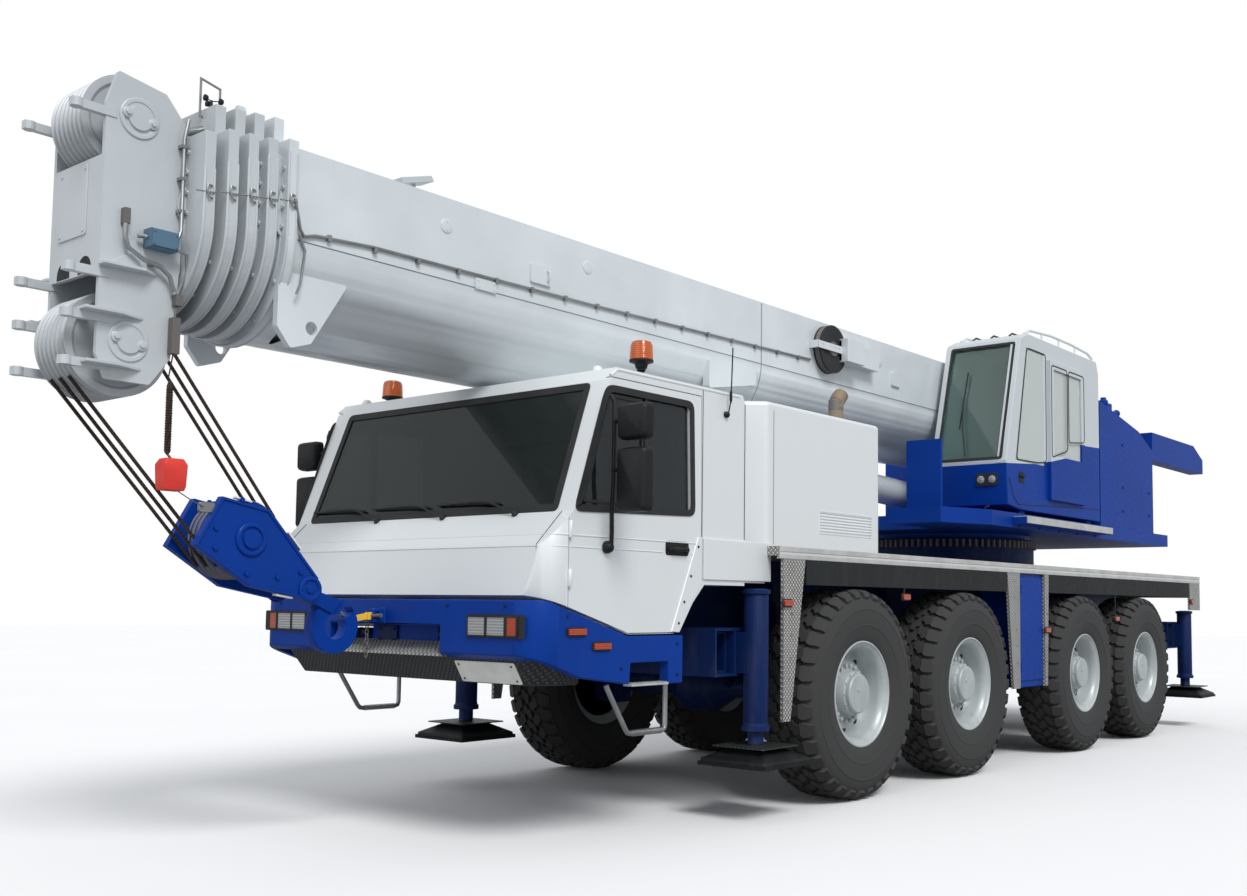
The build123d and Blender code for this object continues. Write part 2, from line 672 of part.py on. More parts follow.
# Luffing cylinder: barrel and rod
luff_base = Vector(luff_base_x, 0, luff_base_z)
luff_eye = Vector(luff_eye_x, 0, luff_eye_z)
luff_run = luff_eye - luff_base
luff_dir = luff_run.normalized()
barrel_end = luff_base + luff_dir * barrel_length
with BuildPart() as luff_barrel:
    bar(tuple(luff_base + luff_dir * 200), tuple(barrel_end), barrel_radius)
    bar(tuple(luff_base), tuple(luff_base + luff_dir * 210), 90)
    cross_bar(luff_base_x, luff_base_z, -115, 115, 105)
    cross_bar(luff_base_x, luff_base_z, -116, 116, 60 + running_gap, mode=Mode.SUBTRACT)
    bar(tuple(luff_base + luff_dir * 300), tuple(barrel_end + luff_dir), luff_rod_radius + running_gap,
        mode=Mode.SUBTRACT)
save(luff_barrel, "luff_barrel")

with BuildPart() as luff_rod:
    bar(tuple(luff_base + luff_dir * 330), tuple(luff_eye - luff_dir * 80), luff_rod_radius)
    cross_bar(luff_eye_x, luff_eye_z, -90, 90, luff_eye_radius)
    cross_bar(luff_eye_x, luff_eye_z, -91, 91, 60 + running_gap, mode=Mode.SUBTRACT)
save(luff_rod, "luff_rod")


# Boom sections: flat-sided above, round below
def section_face(half, x):
    """Closed boom profile at one x value: flat sides and top, semicircle below."""
    top = boom_top - (boom_half - half)
    with BuildSketch(Plane.YZ.offset(x)) as profile:
        with BuildLine():
            Line((-half, boom_axis_z), (-half, top))
            Line((-half, top), (half, top))
            Line((half, top), (half, boom_axis_z))
            ThreePointArc((half, boom_axis_z), (0, boom_axis_z - half), (-half, boom_axis_z))
        make_face()
    return profile.sketch


def section_tube(half, wall, x_low, x_high):
    """Hollow boom section between two x values."""
    extrude(section_face(half, x_low), amount=x_high - x_low)
    extrude(section_face(half - wall, x_low - 1), amount=x_high - x_low + 2, mode=Mode.SUBTRACT)


def section_collar(half, outer, top, x_high):
    """Collar plate round the front end of a section, raised above it to the given top."""
    extrude(section_face(outer, x_high - collar_thick), amount=collar_thick)
    block((x_high - collar_thick, x_high), (-outer * 0.72, outer * 0.72), (boom_top - 100, top))
    extrude(section_face(half - section_step + running_gap, x_high - collar_thick - 1), amount=collar_thick + 2,
            mode=Mode.SUBTRACT)


eye_gap = 100
with BuildPart() as boom_base:
    section_tube(boom_half, section_wall, boom_rear, boom_front)
    section_collar(boom_half, boom_half + 25, collar_tops[0], boom_front)
    side_plate([(boom_front - 260, boom_top - 1), (boom_front, boom_top - 1), (boom_front, 3935),
                (boom_front - 40, 3935), (boom_front - 90, 3800)], -15, 15)
    for side in (-1, 1):
        y_lug = sorted((side * (boom_half - 70), side * (boom_half - 30)))
        side_plate([(boom_front - 420, 2995), (boom_front, 2995), (boom_front, 2700), (boom_front - 80, 2600),
                    (boom_front - 200, 2640)], *y_lug, radius=20)
        cross_bar(boom_front - 200, 2720, -boom_half, boom_half, 35, mode=Mode.SUBTRACT)
    side_plate([(2220, 3090), (1650, 3090), (1650, 2970), (2220, 2870)], boom_half - 40, boom_half + 20, radius=20)
    cross_bar(660, 3400, boom_half - 2, boom_half + 70, 190)
    block((-40, 560), (boom_half - 2, boom_half + 90), (3320, 3490))
    cross_bar(pivot_x, pivot_z, -boom_half + 1, boom_half - 1, 130)
    cross_bar(pivot_x, pivot_z, -boom_half - 5, boom_half + 5, 80 + running_gap, mode=Mode.SUBTRACT)
    for side in (-1, 1):
        side_plate([(luff_eye_x - 420, 2704), (luff_eye_x - 110, luff_eye_z - 60), (luff_eye_x, luff_eye_z - 105),
                    (luff_eye_x + 110, luff_eye_z - 60), (luff_eye_x + 420, 2704)],
                   *sorted((side * eye_gap, side * (eye_gap + 40))))
        cross_bar(luff_eye_x, luff_eye_z, *sorted((side * (eye_gap + 39), side * (eye_gap + 55))), 60)
save(boom_base, "boom_base")

tail_step = 150
for number in range(1, section_count + 1):
    half = boom_half - number * section_step
    front = boom_front + number * collar_pitch
    rear = boom_rear + 700 + number * tail_step
    name = f"boom_section_{number}"
    with BuildPart() as section:
        if number < section_count:
            section_tube(half, section_wall, rear, front)
            section_collar(half, min(boom_half + 15 - number * 8, half + 140), collar_tops[number], front)
        else:
            section_tube(half, section_wall, rear, head_rear + 10)
            block((head_rear, head_rear + 25), (-head_half, head_half), (boom_axis_z - half, 3390))
            block((6465, 6490), (-head_half, head_half), (2840, 3390))
            for side in (-1, 1):
                side_plate([(head_rear, 3640), (6200, 3760), (6440, 3800), (6490, 3640), (6490, 2450), (6440, 2340),
                            (6230, 2340), (6130, 2480), (head_rear, 2950)],
                           *sorted((side * (head_half - 25), side * head_half)), radius=14)
                for z in (2400, 2620, 2830, 3590):
                    block((6440, lug_tip_x), sorted((side * (head_half - 30), side * (head_half + 5))),
                          (z - 20, z + 20))
            cross_bar(lower_pin_x, lower_pin_z, -head_half, head_half, 60)
            cross_bar(upper_pin_x, upper_pin_z, -head_half, head_half, 60)
    save(section, name)

sheave_half = 150
with BuildPart() as head_sheaves:
    for x, z, radius in ((lower_pin_x, lower_pin_z, head_sheave_radius), (upper_pin_x, upper_pin_z, upper_sheave_radius)):
        cross_bar(x, z, -sheave_half, sheave_half, radius)
        cross_bar(x, z, -head_half + 25 + running_gap, head_half - 25 - running_gap, 95)
        cross_bar(x, z, -head_half, head_half, 60 + running_gap, mode=Mode.SUBTRACT)
save(head_sheaves, "head_sheaves")


def tangent_run(start, start_radius, end, end_radius, turn):
    """Ends of the straight rope that touches two sheaves, each given as (x, z) with a radius, on the same side.

    turn is +1 for the side to the left of the way from start to end, and -1 for the right.
    """
    run_x, run_z = end[0] - start[0], end[1] - start[1]
    length = math.hypot(run_x, run_z)
    lean = math.atan2(run_z, run_x) + turn * math.acos((start_radius - end_radius) / length)
    offset_x, offset_z = math.cos(lean), math.sin(lean)
    return (
        (start[0] + start_radius * offset_x, start[1] + start_radius * offset_z),
        (end[0] + end_radius * offset_x, end[1] + end_radius * offset_z),
    )


# Rope falls from the head to the hook block
rope_radius = 9
rope_lift = rope_radius + running_gap
lower_pin = (lower_pin_x, lower_pin_z)
block_pin = (block_x, block_z)
fall_ys = (-90, 0, 90)
with BuildPart() as rope_falls:
    for turn in (-1, 1):
        top, low = tangent_run(lower_pin, head_sheave_radius + rope_lift, block_pin, block_sheave_radius + rope_lift, turn)
        for y in fall_ys:
            bar((top[0], y, top[1]), (low[0], y, low[1]), rope_radius)
save(rope_falls, "rope_falls")

# Hook block: cheeks, sheaves and swivel hook
with BuildPart() as hook_block:
    for side in (-1, 1):
        side_plate([(5770, 1850), (5910, 1600), (5600, 1400), (5240, 1330), (5190, 1450), (5500, 1800)],
                   *sorted((side * 110, side * 150)))
    cross_bar(block_x, block_z, -111, 111, block_sheave_radius)
    cross_bar(block_x, block_z, -150, 150, 45)
    cross_bar(5240, 1390, -150, 150, 40)
    side_plate([(5260, 1430), (5200, 1340), (5020, 1260), (4960, 1330)], -50, 50)
    with BuildSketch(Plane.XZ.offset(-hook_half)) as hook_plate:
        with Locations((hook_x - 40, hook_z - 40)):
            Circle(hook_outer)
            Circle(hook_inner, mode=Mode.SUBTRACT)
        with BuildLine():
            Polyline((hook_x - 40, hook_z - 40), (hook_x - 160, hook_z + 40), (hook_x - 110, hook_z + 130),
                     close=True)
        make_face(mode=Mode.SUBTRACT)
    extrude(hook_plate.sketch, amount=2 * hook_half)
save(hook_block, "hook_block")
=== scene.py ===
"""Dressed scene of a four-axle mobile crane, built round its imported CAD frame."""

import logging
import math
from dataclasses import dataclass
from enum import Enum
from typing import Sequence

import bmesh
import bpy
from mathutils import Matrix, Vector


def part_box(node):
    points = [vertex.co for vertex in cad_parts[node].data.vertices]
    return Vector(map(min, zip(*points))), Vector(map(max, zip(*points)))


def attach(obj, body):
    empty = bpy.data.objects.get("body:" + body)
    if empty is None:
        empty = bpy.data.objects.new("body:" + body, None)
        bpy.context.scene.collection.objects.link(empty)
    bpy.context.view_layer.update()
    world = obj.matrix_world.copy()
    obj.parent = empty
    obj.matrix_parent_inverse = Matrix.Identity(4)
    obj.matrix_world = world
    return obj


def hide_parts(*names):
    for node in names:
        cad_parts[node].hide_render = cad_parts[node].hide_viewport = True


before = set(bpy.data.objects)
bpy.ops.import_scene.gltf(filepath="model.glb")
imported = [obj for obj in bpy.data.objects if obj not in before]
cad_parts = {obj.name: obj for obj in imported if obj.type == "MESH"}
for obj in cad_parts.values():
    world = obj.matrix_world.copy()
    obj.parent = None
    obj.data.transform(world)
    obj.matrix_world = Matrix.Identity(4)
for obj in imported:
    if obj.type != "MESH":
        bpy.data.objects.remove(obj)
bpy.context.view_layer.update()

log = logging.getLogger("mobile_crane")

Socket = bpy.types.NodeSocket
Point = tuple[float, float, float]
Colour = tuple[float, float, float]
Pair = tuple[float, float]
Outline = Sequence[Pair]
SIDES: tuple[tuple[str, int], ...] = (("left", 1), ("right", -1))
UNIT: dict[str, Point] = {"x": (1, 0, 0), "y": (0, 1, 0), "z": (0, 0, 1)}
CORNER_CHORDS = 4
WELD_GAP = 0.0002
NODE_ANGLE = 40
NODE_BEVEL = 0.003


def srgb(red: int, green: int, blue: int) -> Colour:
    """Turn a display colour of 8 bits into scene-linear values.

    Args:
        red: Red level from 0 to 255.
        green: Green level from 0 to 255.
        blue: Blue level from 0 to 255.

    Returns:
        The three linear values.
    """
    return tuple(((level / 255 + 0.055) / 1.055) ** 2.4 for level in (red, green, blue))


def shade(colour: Colour, factor: float, lift: float = 0.0) -> Colour:
    """A colour made darker or lighter, never above white."""
    return tuple(min(1.0, level * factor + lift) for level in colour)


def spokes(count: int) -> list[float]:
    """Angles spread evenly over a full turn."""
    return [math.tau * k / count for k in range(count)]


def half_round(chords: int) -> list[float]:
    """Angles over half a turn, with both ends."""
    return [math.pi * k / chords for k in range(chords + 1)]


class Graph:
    """Node tree of one material, with short calls for the nodes that the finishes share."""

    def __init__(self, name: str) -> None:
        """Start a material with a Principled shader."""
        self.material = bpy.data.materials.new(name)
        self.material.use_nodes = True
        self.tree = self.material.node_tree
        self.shader = self.tree.nodes["Principled BSDF"]
        self.place = self.tree.nodes.new("ShaderNodeTexCoord").outputs["Object"]

    def feed(self, socket: Socket, value: object) -> None:
        """Link a socket or set a constant on an input socket.

        Args:
            socket: Input to fill.
            value: Output to link, a colour or a number.
        """
        if isinstance(value, Socket):
            self.tree.links.new(value, socket)
        elif isinstance(value, tuple) and len(value) == 3 and socket.type == "RGBA":
            socket.default_value = (*value, 1.0)
        else:
            socket.default_value = value

    def set(self, **levels: object) -> None:
        """Set or link inputs of the Principled shader, with underscores for spaces."""
        for name, value in levels.items():
            self.feed(self.shader.inputs[name.replace("_", " ")], value)

    def node(self, kind: str, inputs: dict[int | str, object], **settings: object) -> bpy.types.Node:
        """Add a shader node.

        Args:
            kind: Type of the node, without its prefix.
            inputs: Value or link of each input, by name or number.
            settings: Properties of the node, set before its inputs.

        Returns:
            The node.
        """
        node = self.tree.nodes.new(f"ShaderNode{kind}")
        for name, value in settings.items():
            setattr(node, name, value)
        for key, value in inputs.items():
            self.feed(node.inputs[key], value)
        return node

    def math(self, operation: str, first: object, second: object = 0.0) -> Socket:
        """Combine two values with a math node."""
        return self.node("Math", {0: first, 1: second}, operation=operation).outputs[0]

    def times(self, first: object, second: object) -> Socket:
        """Product of two values."""
        return self.math("MULTIPLY", first, second)

    def plus(self, first: object, second: object) -> Socket:
        """Sum of two values."""
        return self.math("ADD", first, second)

    def minus(self, first: object, second: object) -> Socket:
        """First value less the second."""
        return self.math("SUBTRACT", first, second)

    def mix(self, amount: object, first: object, second: object) -> Socket:
        """Blend two colours."""
        return self.node("Mix", {0: amount, 6: first, 7: second}, data_type="RGBA").outputs[2]

    def stretch(self, scale: Point) -> Socket:
        """Object coordinates scaled along each axis."""
        return self.node("Mapping", {"Vector": self.place, "Scale": scale}).outputs[0]

    def noise(self, scale: float, detail: float = 4.0, along: Point = (1, 1, 1)) -> Socket:
        """Noise value at a scale per metre."""
        inputs = {"Vector": self.stretch(along), "Scale": scale, "Detail": detail}
        return self.node("TexNoise", inputs).outputs["Fac"]

    def remap(self, value: object, low: float, high: float, to_low: float = 0.0,
            to_high: float = 1.0) -> Socket:
        """Map a value range onto another, clamped."""
        ends = {"From Min": low, "From Max": high, "To Min": to_low, "To Max": to_high}
        return self.node("MapRange", {"Value": value, **ends}).outputs[0]

    def axis(self, index: int) -> Socket:
        """One object coordinate, in metres."""
        return self.node("SeparateXYZ", {0: self.place}).outputs[index]

    def facing(self, index: int) -> Socket:
        """How far the surface faces along one axis of the object, from 0 to 1."""
        normal = self.place.node.outputs["Normal"]
        return self.math("ABSOLUTE", self.node("SeparateXYZ", {0: normal}).outputs[index])

    def within(self, index: int, low: float, high: float) -> Socket:
        """1 where one object coordinate lies between two values, and 0 elsewhere."""
        inputs = {0: self.axis(index), 1: (low + high) / 2, 2: (high - low) / 2}
        return self.node("Math", inputs, operation="COMPARE").outputs[0]

    def bump(self, height: object, strength: float, distance: float) -> None:
        """Raise the surface by a height value, on top of earlier bumps.

        Args:
            height: Height value from 0 to 1.
            strength: Strength from 0 to 1.
            distance: Depth in metres.
        """
        node = self.node("Bump", {"Height": height, "Strength": strength, "Distance": distance})
        links = self.shader.inputs["Normal"].links
        if links:
            self.feed(node.inputs["Normal"], links[0].from_socket)
        self.feed(self.shader.inputs["Normal"], node.outputs[0])


@dataclass(frozen=True)
class Zone:
    """Part of a node that wears another colour, between limits on some of the axes."""

    colour: Colour
    spans: tuple[tuple[int, float, float], ...]


ROAD_DIRT: Colour = (0.1, 0.09, 0.075)
LAP = 0.001


@dataclass(frozen=True)
class Paint:
    """Sprayed paint on plate: slight colour drift, orange peel and road film low down."""

    name: str
    colour: Colour
    roughness: float = 0.38
    coat: float = 0.3
    film: float = 0.1
    metallic: float = 0.0
    gloss: float = 0.5
    above: Colour | None = None
    edge: tuple[Pair, ...] = ()

    def material(self) -> bpy.types.Material:
        """Build the paint's material."""
        g = Graph(self.name)
        drift = g.remap(g.noise(1.7, 5.0), 0.3, 0.7)
        tone = g.mix(drift, shade(self.colour, 0.86), self.colour)
        if self.above:
            level = g.plus(self.edge[0][1], 0.0)
            for (x_from, z_from), (x_to, z_to) in zip(self.edge, self.edge[1:]):
                level = g.plus(level, g.remap(g.axis(0), x_from, x_to, 0.0, z_to - z_from))
            over = g.remap(g.minus(g.axis(2), level), -LAP, LAP)
            tone = g.mix(over, tone, self.above)
        low = g.remap(g.axis(2), 0.4, 2.6, 1.0, 0.25)
        streak = g.remap(g.noise(9.0, 7.0, (1.0, 1.0, 0.25)), 0.48, 0.78)
        dirt = g.times(g.times(low, streak), self.film)
        g.set(Base_Color=g.mix(dirt, tone, ROAD_DIRT), Metallic=self.metallic, Coat_Weight=self.coat,
            Coat_Roughness=0.12, IOR=1.5, Specular_IOR_Level=self.gloss)
        g.set(Roughness=g.remap(g.noise(24.0, 3.0), 0.2, 0.8, self.roughness - 0.06, self.roughness + 0.1))
        g.bump(g.noise(420.0, 2.0), 0.06, 0.002)
        g.bump(g.noise(2.2, 2.0), 0.1, 0.004)
        return g.material


@dataclass(frozen=True)
class CheckerPlate:
    """Aluminium tread plate with crossed lozenges, painted brighter on their tops for wear and a painted
    highlight, and darker on the flats between for grime and painted shade.
    """

    name: str
    colour: Colour = srgb(158, 158, 154)
    cell: float = 0.034
    zones: tuple[Zone, ...] = ()

    def material(self) -> bpy.types.Material:
        """Build the tread plate's material."""
        g = Graph(self.name)
        across = g.math("GREATER_THAN", g.facing(0), 0.7)
        upright = g.math("GREATER_THAN", g.facing(2), 0.7)
        along = g.plus(g.times(g.axis(1), across), g.times(g.axis(0), g.minus(1.0, across)))
        rise = g.plus(g.times(g.axis(1), upright), g.times(g.axis(2), g.minus(1.0, upright)))
        cells = []
        for value in (g.plus(along, rise), g.minus(along, rise)):
            scaled = g.math("DIVIDE", value, self.cell)
            cells.append((g.math("FLOOR", scaled), g.minus(g.math("FRACT", scaled), 0.5)))
        odd = g.math("FLOORED_MODULO", g.plus(cells[0][0], cells[1][0]), 2.0)
        heights = []
        for long_side, short_side in ((cells[0][1], cells[1][1]), (cells[1][1], cells[0][1])):
            span = g.math("POWER", g.math("DIVIDE", long_side, 0.48), 2.0)
            width = g.math("POWER", g.math("DIVIDE", short_side, 0.2), 2.0)
            heights.append(g.remap(g.plus(span, width), 1.15, 0.55))
        lug = g.plus(g.times(heights[0], odd), g.times(heights[1], g.minus(1.0, odd)))
        grime = g.remap(g.noise(6.0, 6.0), 0.35, 0.75)
        # Flats painted darker, partly grime and partly painted shade; lozenge tops painted brighter, partly
        # wear and partly a painted highlight.
        dull = g.mix(grime, shade(self.colour, 0.62), shade(self.colour, 0.4))
        bright = shade(self.colour, 1.75)
        tone, plain = g.mix(lug, dull, bright), 0.0
        for zone in self.zones:
            inside = 1.0
            for index, low, high in zone.spans:
                inside = g.times(inside, g.within(index, low, high))
            tone = g.mix(inside, tone, zone.colour)
            plain = g.math("MAXIMUM", plain, inside)
        raised = g.times(lug, g.minus(1.0, plain))
        metal = g.times(g.minus(1.0, plain), 0.35)
        g.set(Base_Color=tone, Metallic=metal, Roughness=g.remap(raised, 0.0, 1.0, 0.5, 0.32))
        g.bump(raised, 0.8, 0.002)
        return g.material


@dataclass(frozen=True)
class Rubber:
    """Tyre rubber, grey with dust on the walls and darker in the grooves."""

    name: str
    colour: Colour = srgb(38, 40, 40)
    dust: Colour = srgb(132, 130, 122)

    def material(self) -> bpy.types.Material:
        """Build the rubber's material."""
        g = Graph(self.name)
        cloud = g.remap(g.noise(4.0, 6.0), 0.35, 0.75)
        wall = g.remap(g.facing(1), 0.5, 0.95)
        dusty = g.times(g.math("MAXIMUM", g.times(wall, 0.75), 0.25), cloud)
        g.set(Base_Color=g.mix(dusty, self.colour, self.dust), Roughness=g.remap(cloud, 0.0, 1.0, 0.62, 0.86),
            Specular_IOR_Level=0.3)
        g.bump(g.noise(300.0, 3.0), 0.2, 0.001)
        return g.material


@dataclass(frozen=True)
class Metal:
    """Bare or plated metal with fine scratches and dull patches."""

    name: str
    colour: Colour
    roughness: float = 0.32
    metallic: float = 1.0
    grain: Point = (1, 1, 1)

    def material(self) -> bpy.types.Material:
        """Build the metal's material."""
        g = Graph(self.name)
        patch = g.remap(g.noise(7.0, 6.0), 0.3, 0.75)
        g.set(Base_Color=g.mix(patch, self.colour, shade(self.colour, 0.72)), Metallic=self.metallic,
            Roughness=g.remap(g.noise(160.0, 4.0, self.grain), 0.25, 0.75, self.roughness - 0.08,
            self.roughness + 0.16))
        g.bump(g.noise(260.0, 3.0, self.grain), 0.08, 0.001)
        return g.material


@dataclass(frozen=True)
class Glazing:
    """Clear pane with a tint and a very slight waviness."""

    name: str
    tint: Colour
    see_through: float = 0.9
    roughness: float = 0.02

    def material(self) -> bpy.types.Material:
        """Build the pane's material."""
        g = Graph(self.name)
        film = g.remap(g.noise(3.0, 5.0), 0.45, 0.75, 0.0, 0.12)
        g.set(Base_Color=g.mix(film, self.tint, shade(self.tint, 1.0, 0.05)),
            Transmission_Weight=self.see_through, Roughness=g.remap(film, 0.0, 0.12, self.roughness, 0.08),
            IOR=1.45)
        g.bump(g.noise(2.0, 2.0), 0.02, 0.002)
        return g.material


@dataclass(frozen=True)
class Plastic:
    """Moulded plastic or cloth trim with a fine grain."""

    name: str
    colour: Colour
    roughness: float = 0.55
    grain: float = 380.0

    def material(self) -> bpy.types.Material:
        """Build the moulding's material."""
        g = Graph(self.name)
        fade = g.remap(g.noise(8.0, 5.0), 0.3, 0.75)
        g.set(Base_Color=g.mix(fade, self.colour, shade(self.colour, 1.25, 0.01)),
            Roughness=g.remap(fade, 0.0, 1.0, self.roughness, self.roughness + 0.12))
        g.bump(g.noise(self.grain, 2.0), 0.15, 0.001)
        return g.material


@dataclass(frozen=True)
class Lens:
    """Ribbed lamp lens."""

    name: str
    colour: Colour
    ribs: float = 0.012
    see_through: float = 0.35

    def material(self) -> bpy.types.Material:
        """Build the lens's material."""
        g = Graph(self.name)
        wave = g.math("SINE", g.times(g.axis(2), math.tau / self.ribs))
        tone = g.remap(wave, -1.0, 1.0)
        g.set(Base_Color=g.mix(tone, shade(self.colour, 0.62), self.colour),
            Transmission_Weight=self.see_through, Roughness=0.12, Coat_Weight=0.6)
        g.bump(wave, 0.3, 0.002)
        return g.material


@dataclass(frozen=True)
class WireRope:
    """Greased steel rope with a twisted lay."""

    name: str
    colour: Colour = srgb(74, 62, 54)

    def material(self) -> bpy.types.Material:
        """Build the rope's material."""
        g = Graph(self.name)
        lay = g.math("SINE", g.times(g.plus(g.axis(2), g.times(g.axis(1), 3.0)), 420.0))
        g.set(Base_Color=g.mix(g.remap(lay, -1.0, 1.0), shade(self.colour, 0.4), self.colour), Metallic=0.5,
            Roughness=0.5)
        g.bump(lay, 0.7, 0.002)
        return g.material


CAB_GREY: Colour = srgb(199, 206, 209)
CRANE_BLUE: Colour = srgb(4, 58, 150)
FRAME_BLUE: Colour = srgb(8, 36, 88)
DECK_BLUE: Colour = srgb(10, 54, 138)
PLATE_GREY: Colour = srgb(168, 168, 164)
S_EDGE: tuple[Pair, ...] = ((-1.069, 2.594), (-1.703, 2.643), (-2.339, 2.761), (-2.681, 2.921), (-3.2, 2.945))
DECK_ZONES: tuple[Zone, ...] = (
    Zone(srgb(206, 210, 210), ((2, 1.712, 1.95), (1, 1.2, 1.32))),
    Zone(DECK_BLUE, ((2, 1.712, 1.95), (1, 0.85, 1.13))),
    Zone(srgb(206, 207, 204), ((2, 1.629, 1.7099), (1, 1.359, 1.37))),
    Zone(DECK_BLUE, ((2, 1.29, 1.629), (0, -3.75, -3.17))),
)


class Finish(Enum):
    """Every finish on the crane."""

    CAB_WHITE = Paint("cab_white", CAB_GREY, film=0.04)
    SILVER = Paint("boom_silver", srgb(222, 229, 232), roughness=0.36, film=0.05, metallic=0.1)
    RIM_SILVER = Paint("rim_silver", srgb(188, 195, 195), roughness=0.4, film=0.3, metallic=0.15)
    BLUE = Paint("chassis_blue", CRANE_BLUE, roughness=0.44, coat=0.03, film=0.03, gloss=0.12)
    DEEP_BLUE = Paint("frame_blue", FRAME_BLUE, roughness=0.46, coat=0.0, film=0.3, gloss=0.2)
    SKIRT = Paint("skirt_grey", srgb(38, 41, 42), roughness=0.6, coat=0.0, film=0.15, gloss=0.2)
    BLACK = Paint("satin_black", srgb(22, 24, 25), roughness=0.5, coat=0.0, film=0.12, gloss=0.3)
    TREAD_PLATE = CheckerPlate("tread_plate", PLATE_GREY)
    DECK_PLATE = CheckerPlate("deck_plate", PLATE_GREY, zones=DECK_ZONES)
    DARK_TREAD_PLATE = CheckerPlate("dark_tread_plate", srgb(58, 62, 60))
    SILL = Metal("sill_aluminium", srgb(214, 215, 212), 0.4, 0.5, (0.05, 1, 1))
    STEEL = Metal("bare_steel", srgb(168, 170, 170), 0.34, 0.9)
    CHROME = Metal("cylinder_chrome", srgb(214, 216, 218), 0.14, 1.0)
    IRON = Metal("engine_iron", srgb(70, 68, 66), 0.6, 0.7)
    RUST = Metal("exhaust_rust", srgb(150, 132, 112), 0.66, 0.3)
    RUBBER = Rubber("tyre_rubber")
    SEAL = Plastic("seal_rubber", srgb(24, 25, 26), 0.6)
    TRIM = Plastic("dark_trim", srgb(44, 47, 49), 0.55)
    CLOTH = Plastic("seat_cloth", srgb(60, 66, 74), 0.9, 700.0)
    SLING = Plastic("sling_web", srgb(222, 178, 44), 0.8, 900.0)
    RED = Plastic("weight_red", srgb(208, 48, 36), 0.45)
    PLATE_WHITE = Plastic("plate_white", srgb(216, 216, 210), 0.5)
    WINDSCREEN = Glazing("windscreen_glass", (0.06, 0.085, 0.078))
    DOOR_GLASS = Glazing("door_glass", (0.08, 0.105, 0.115))
    GREEN_GLASS = Glazing("green_glass", (0.48, 0.68, 0.63), 0.95)
    AMBER = Lens("amber_lens", srgb(240, 112, 24))
    SIDE_AMBER = Lens("marker_lens", srgb(226, 84, 30), 0.009)
    RED_LENS = Lens("tail_lens", srgb(196, 30, 26), 0.01)
    CLEAR = Lens("headlamp_lens", srgb(226, 230, 230), 0.016, 0.5)
    ROPE = WireRope("hoist_rope")
    HEAD_SILVER = Paint("head_silver", srgb(203, 209, 212), roughness=0.36, film=0.08, metallic=0.1)
    SEAM_GREY = Paint("seam_grey", srgb(128, 136, 141), roughness=0.5, coat=0.0)
    SHEAVE = Metal("sheave_grey", srgb(132, 138, 141), 0.46, 0.25)
    BOX_BLUE = Paint("switch_box_blue", srgb(84, 118, 142), roughness=0.45, coat=0.1)
    PALE_GLASS = Glazing("pale_glass", (0.8, 0.86, 0.83), 0.45, 0.1)
    CRANE_CAB = Paint("crane_cab_paint", CRANE_BLUE, roughness=0.44, coat=0.03, film=0.03, gloss=0.12,
        above=CAB_GREY, edge=S_EDGE)
    JACK = Paint("jack_paint", srgb(20, 22, 23), roughness=0.5, coat=0.0, film=0.1, gloss=0.22,
        above=FRAME_BLUE, edge=((-10.0, 0.462), (10.0, 0.462)))

    @property
    def material(self) -> bpy.types.Material:
        """The finish's material, built once."""
        found = bpy.data.materials.get(self.value.name)
        return found if found else self.value.material()


def ordered(first: float, second: float) -> Pair:
    """The two values, lowest first."""
    return (min(first, second), max(first, second))


def rounded(outline: Outline, radius: float) -> list[Pair]:
    """Round the corners of an outline.

    Args:
        outline: Corner points in order.
        radius: How far along each edge a corner's rounding starts.

    Returns:
        The rounded outline.
    """
    points = []
    count = len(outline)
    for i in range(count):
        here = Vector(outline[i])
        back, ahead = Vector(outline[i - 1]) - here, Vector(outline[(i + 1) % count]) - here
        start = here + back.normalized() * min(radius, back.length * 0.45)
        end = here + ahead.normalized() * min(radius, ahead.length * 0.45)
        for k in range(CORNER_CHORDS + 1):
            t = k / CORNER_CHORDS
            points.append(tuple(start * (1 - t) ** 2 + here * 2 * t * (1 - t) + end * t ** 2))
    return points


def oblong(a: Pair, b: Pair, radius: float) -> list[Pair]:
    """Rectangle with rounded corners between two values on each axis of its outline."""
    return rounded([(a[0], b[0]), (a[1], b[0]), (a[1], b[1]), (a[0], b[1])], radius)


@dataclass(frozen=True)
class Sheet:
    """Sloped plane that flat pieces are drawn on."""

    across: Point
    up: Point
    out: Point
    origin: Point

    def at(self, a: float, b: float, level: float) -> Vector:
        """Point at two distances along the plane and a level above it."""
        return Vector(self.origin) + Vector(self.across) * a + Vector(self.up) * b + Vector(self.out) * level


Axis = str | Sheet
WINDSHIELD = Sheet(across=(0, 1, 0), up=(-0.3454, 0, 0.9385), out=(0.9385, 0, 0.3454), origin=(4.37, 0, 1.83))


